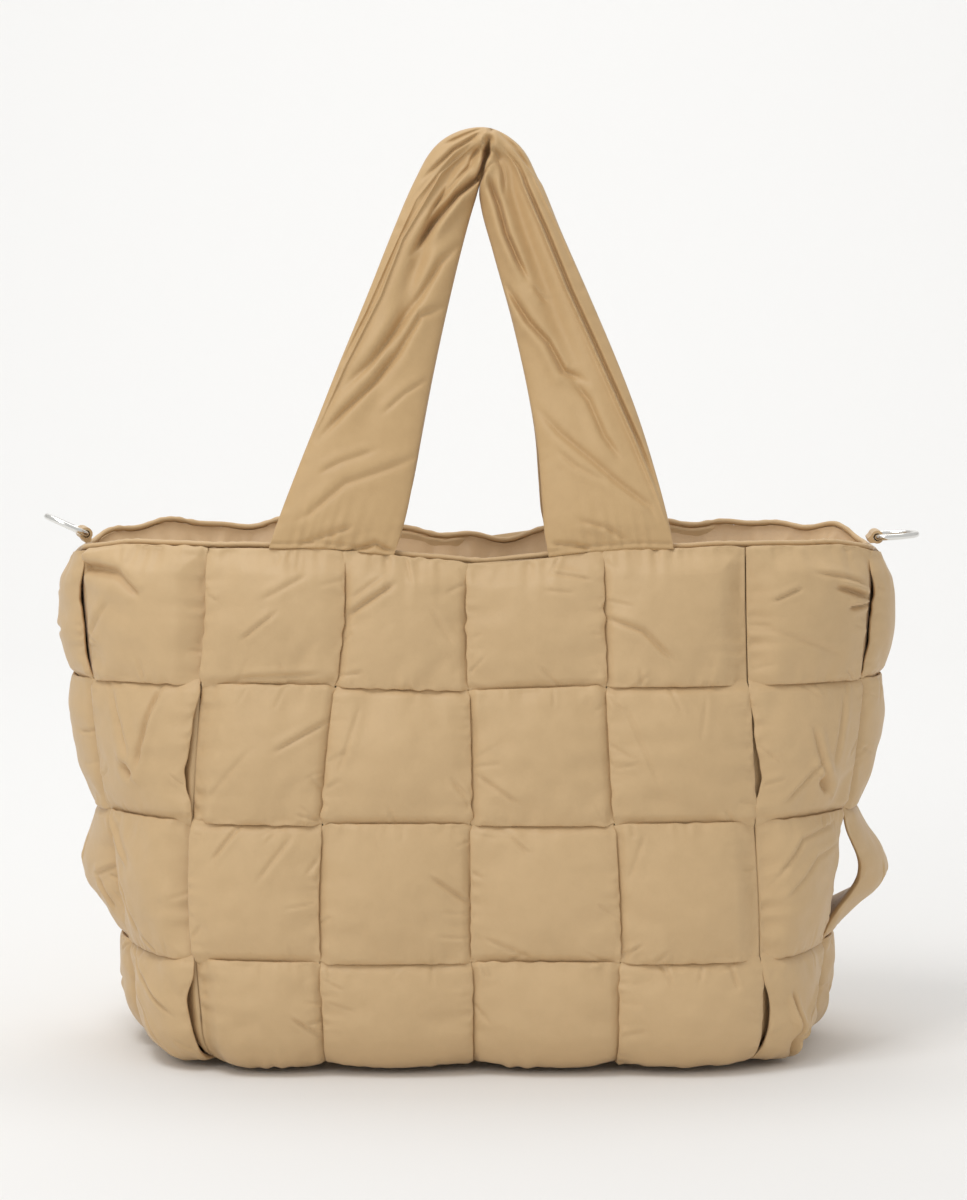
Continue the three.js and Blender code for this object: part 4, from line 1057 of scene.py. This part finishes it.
def nylon_group():
    group = bpy.data.node_groups.new("fine_nylon", "ShaderNodeTree")
    face = group.interface
    for socket, kind in (("Lit", "NodeSocketColor"), ("Deep", "NodeSocketColor"),
                         ("Cloth", "NodeSocketVector"), ("Place", "NodeSocketVector"),
                         ("Crinkle", "NodeSocketFloat")):
        face.new_socket(socket, in_out="INPUT", socket_type=kind)
    for socket, kind in (("Color", "NodeSocketColor"), ("Roughness", "NodeSocketFloat"),
                         ("Height", "NodeSocketFloat")):
        face.new_socket(socket, in_out="OUTPUT", socket_type=kind)
    nodes, links = group.nodes, group.links
    inp = nodes.new("NodeGroupInput")
    out = nodes.new("NodeGroupOutput")

    def math_node(kind, a, b):
        node = nodes.new("ShaderNodeMath")
        node.operation = kind
        for k, value in enumerate((a, b)):
            if isinstance(value, (int, float)):
                node.inputs[k].default_value = value
            else:
                links.new(value, node.inputs[k])
        return node.outputs[0]

    def noise(vector, scale, detail=2.0, rough=0.5):
        node = nodes.new("ShaderNodeTexNoise")
        links.new(vector, node.inputs["Vector"])
        node.inputs["Scale"].default_value = scale
        node.inputs["Detail"].default_value = detail
        node.inputs["Roughness"].default_value = rough
        return node.outputs["Fac"]

    def threads(direction):
        node = nodes.new("ShaderNodeTexWave")
        node.wave_type = "BANDS"
        node.bands_direction = direction
        node.inputs["Scale"].default_value = 480
        node.inputs["Distortion"].default_value = 0.6
        node.inputs["Detail"].default_value = 1
        links.new(inp.outputs["Cloth"], node.inputs["Vector"])
        return node.outputs["Fac"]

    patches = noise(inp.outputs["Place"], 9, 3)
    crinkle = noise(inp.outputs["Place"], 120, 3, 0.55)
    weave = math_node("MULTIPLY", threads("X"), threads("Y"))
    tone = math_node("ADD", math_node("MULTIPLY", patches, 0.6), math_node("MULTIPLY", crinkle, 0.4))
    tone = math_node("ADD", tone, math_node("MULTIPLY", weave, 0.12))
    ramp = nodes.new("ShaderNodeMapRange")
    ramp.inputs["From Min"].default_value = 0.36
    ramp.inputs["From Max"].default_value = 0.68
    links.new(tone, ramp.inputs["Value"])
    mix = nodes.new("ShaderNodeMix")
    mix.data_type = "RGBA"
    links.new(ramp.outputs["Result"], mix.inputs["Factor"])
    links.new(inp.outputs["Deep"], mix.inputs["A"])
    links.new(inp.outputs["Lit"], mix.inputs["B"])
    links.new(mix.outputs["Result"], out.inputs["Color"])
    shine = nodes.new("ShaderNodeMapRange")
    shine.inputs["To Min"].default_value = 0.44
    shine.inputs["To Max"].default_value = 0.6
    links.new(crinkle, shine.inputs["Value"])
    links.new(shine.outputs["Result"], out.inputs["Roughness"])
    height = math_node("ADD", math_node("MULTIPLY", weave, 0.08),
                       math_node("MULTIPLY", crinkle, inp.outputs["Crinkle"]))
    links.new(height, out.inputs["Height"])
    return group


nylon = nylon_group()


def nylon_material(name, lit, deep, crinkle):
    """A Principled shader whose colour, roughness and bump come from the nylon group."""
    material = bpy.data.materials.new(name)
    material.use_nodes = True
    nodes, links = material.node_tree.nodes, material.node_tree.links
    shader = nodes["Principled BSDF"]
    shader.inputs["IOR"].default_value = 1.45
    shader.inputs["Sheen Weight"].default_value = 0.12
    shader.inputs["Sheen Roughness"].default_value = 0.4
    where = nodes.new("ShaderNodeTexCoord")
    uv = nodes.new("ShaderNodeUVMap")
    uv.uv_map = "cloth"
    cloth = nodes.new("ShaderNodeGroup")
    cloth.node_tree = nylon
    cloth.inputs["Lit"].default_value = (*lit, 1)
    cloth.inputs["Deep"].default_value = (*deep, 1)
    cloth.inputs["Crinkle"].default_value = crinkle
    links.new(uv.outputs["UV"], cloth.inputs["Cloth"])
    links.new(where.outputs["Object"], cloth.inputs["Place"])
    bump = nodes.new("ShaderNodeBump")
    bump.inputs["Strength"].default_value = 0.5
    bump.inputs["Distance"].default_value = 0.0006
    links.new(cloth.outputs["Height"], bump.inputs["Height"])
    links.new(bump.outputs["Normal"], shader.inputs["Normal"])
    links.new(cloth.outputs["Color"], shader.inputs["Base Color"])
    links.new(cloth.outputs["Roughness"], shader.inputs["Roughness"])
    return material


shell_cloth = nylon_material("shell_nylon", (0.612, 0.424, 0.226), (0.565, 0.388, 0.202), 1.0)
handle_cloth = nylon_material("handle_nylon", (0.58, 0.388, 0.19), (0.53, 0.348, 0.166), 0.9)
lining_nylon = nylon_material("lining_nylon", (0.62, 0.425, 0.235), (0.55, 0.37, 0.2), 1.2)
for piece in [*strips, base]:
    piece.data.materials.append(shell_cloth)
for piece in handles:
    piece.data.materials.append(handle_cloth)
lining.data.materials.append(lining_nylon)
hem.data.materials.append(shell_cloth)
print("cloths", [m.name for m in bpy.data.materials if "nylon" in m.name])

# %% [markdown]
# ## Polished rings and their tabs
#
# The rings are polished wire. Polished metal shows mostly what is around it, so the material
# is a plain mirror-like metal, whose roughness varies a little with fine scratches.

# %% Ring metal
ring_metal = bpy.data.materials.new("polished_wire")
ring_metal.use_nodes = True
nodes, links = ring_metal.node_tree.nodes, ring_metal.node_tree.links
shader = nodes["Principled BSDF"]
shader.inputs["Base Color"].default_value = (0.8, 0.79, 0.76, 1)
shader.inputs["Metallic"].default_value = 1
where = nodes.new("ShaderNodeTexCoord")
scratches = nodes.new("ShaderNodeTexNoise")
scratches.inputs["Scale"].default_value = 900
links.new(where.outputs["Object"], scratches.inputs["Vector"])
spread_out = nodes.new("ShaderNodeMapRange")
spread_out.inputs["To Min"].default_value = 0.1
spread_out.inputs["To Max"].default_value = 0.24
links.new(scratches.outputs["Fac"], spread_out.inputs["Value"])
links.new(spread_out.outputs["Result"], shader.inputs["Roughness"])
for ring in rings_of_bag:
    ring.data.materials.append(ring_metal)
for name in ("right_ring_tab", "left_ring_tab"):
    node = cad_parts[name]
    node.data.materials.clear()
    node.data.materials.append(shell_cloth)
print("ring metal ready")

# %% [markdown]
# ## Floor and light
#
# The bag stands on seamless white paper that curves up behind it, lit by large soft lamps from
# above and in front, so that the shadows are pale and wide.

# %% Paper sweep


def paper_sweep():
    """A floor that turns up behind the bag through a quarter circle into a wall."""
    turn = np.linspace(0, np.pi / 2, 24)
    y = np.concatenate([[-10.0, -3.0], 2.0 + 1.5 * np.sin(turn), [3.5]])
    z = np.concatenate([[0.0, 0.0], 1.5 - 1.5 * np.cos(turn), [4.0]])
    x = np.linspace(-10, 10, 9)
    points = np.stack(np.broadcast_arrays(x[None, :], y[:, None], z[:, None]), -1)
    index = np.arange(points.shape[0] * 9).reshape(-1, 9)
    quads = np.stack([index[:-1, :-1], index[:-1, 1:], index[1:, 1:], index[1:, :-1]], -1).reshape(-1, 4)
    mesh = bpy.data.meshes.new("paper_sweep")
    mesh.from_pydata(points.reshape(-1, 3).tolist(), [], quads.tolist())
    mesh.polygons.foreach_set("use_smooth", np.ones(len(quads), bool))
    piece = bpy.data.objects.new("paper_sweep", mesh)
    bpy.context.scene.collection.objects.link(piece)
    paper = bpy.data.materials.new("white_paper")
    paper.use_nodes = True
    paper.node_tree.nodes["Principled BSDF"].inputs["Base Color"].default_value = (0.85, 0.845, 0.835, 1)
    paper.node_tree.nodes["Principled BSDF"].inputs["Roughness"].default_value = 0.9
    mesh.materials.append(paper)
    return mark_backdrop(piece)


paper_sweep()


# %% Lamps
def lamp(name, place, target, size, watts):
    data = bpy.data.lights.new(name, "AREA")
    data.shape = "SQUARE"
    data.size = size
    data.energy = watts
    light = bpy.data.objects.new(name, data)
    light.location = place
    away = np.array(place) - np.array(target)
    light.rotation_euler = (math.atan2(math.hypot(away[0], away[1]), away[2]), 0,
                            math.atan2(away[1], away[0]) + math.pi / 2)
    bpy.context.scene.collection.objects.link(light)
    return light


lamp("soft_top", (-0.7, -0.8, 2.2), (0, 0, 0.2), 0.8, 15.5)
lamp("soft_front", (-1.5, -2.7, 1.8), (0, 0, 0.25), 1.1, 10.5)
lamp("paper_wash", (0, 1.4, 3.4), (0, 3.5, 0.9), 2.5, 48)
world = bpy.data.worlds.new("studio")
bpy.context.scene.world = world
world.use_nodes = True
world.node_tree.nodes["Background"].inputs["Color"].default_value = (1, 1, 0.995, 1)
world.node_tree.nodes["Background"].inputs["Strength"].default_value = 0.65
bpy.context.scene.view_settings.view_transform = "Standard"
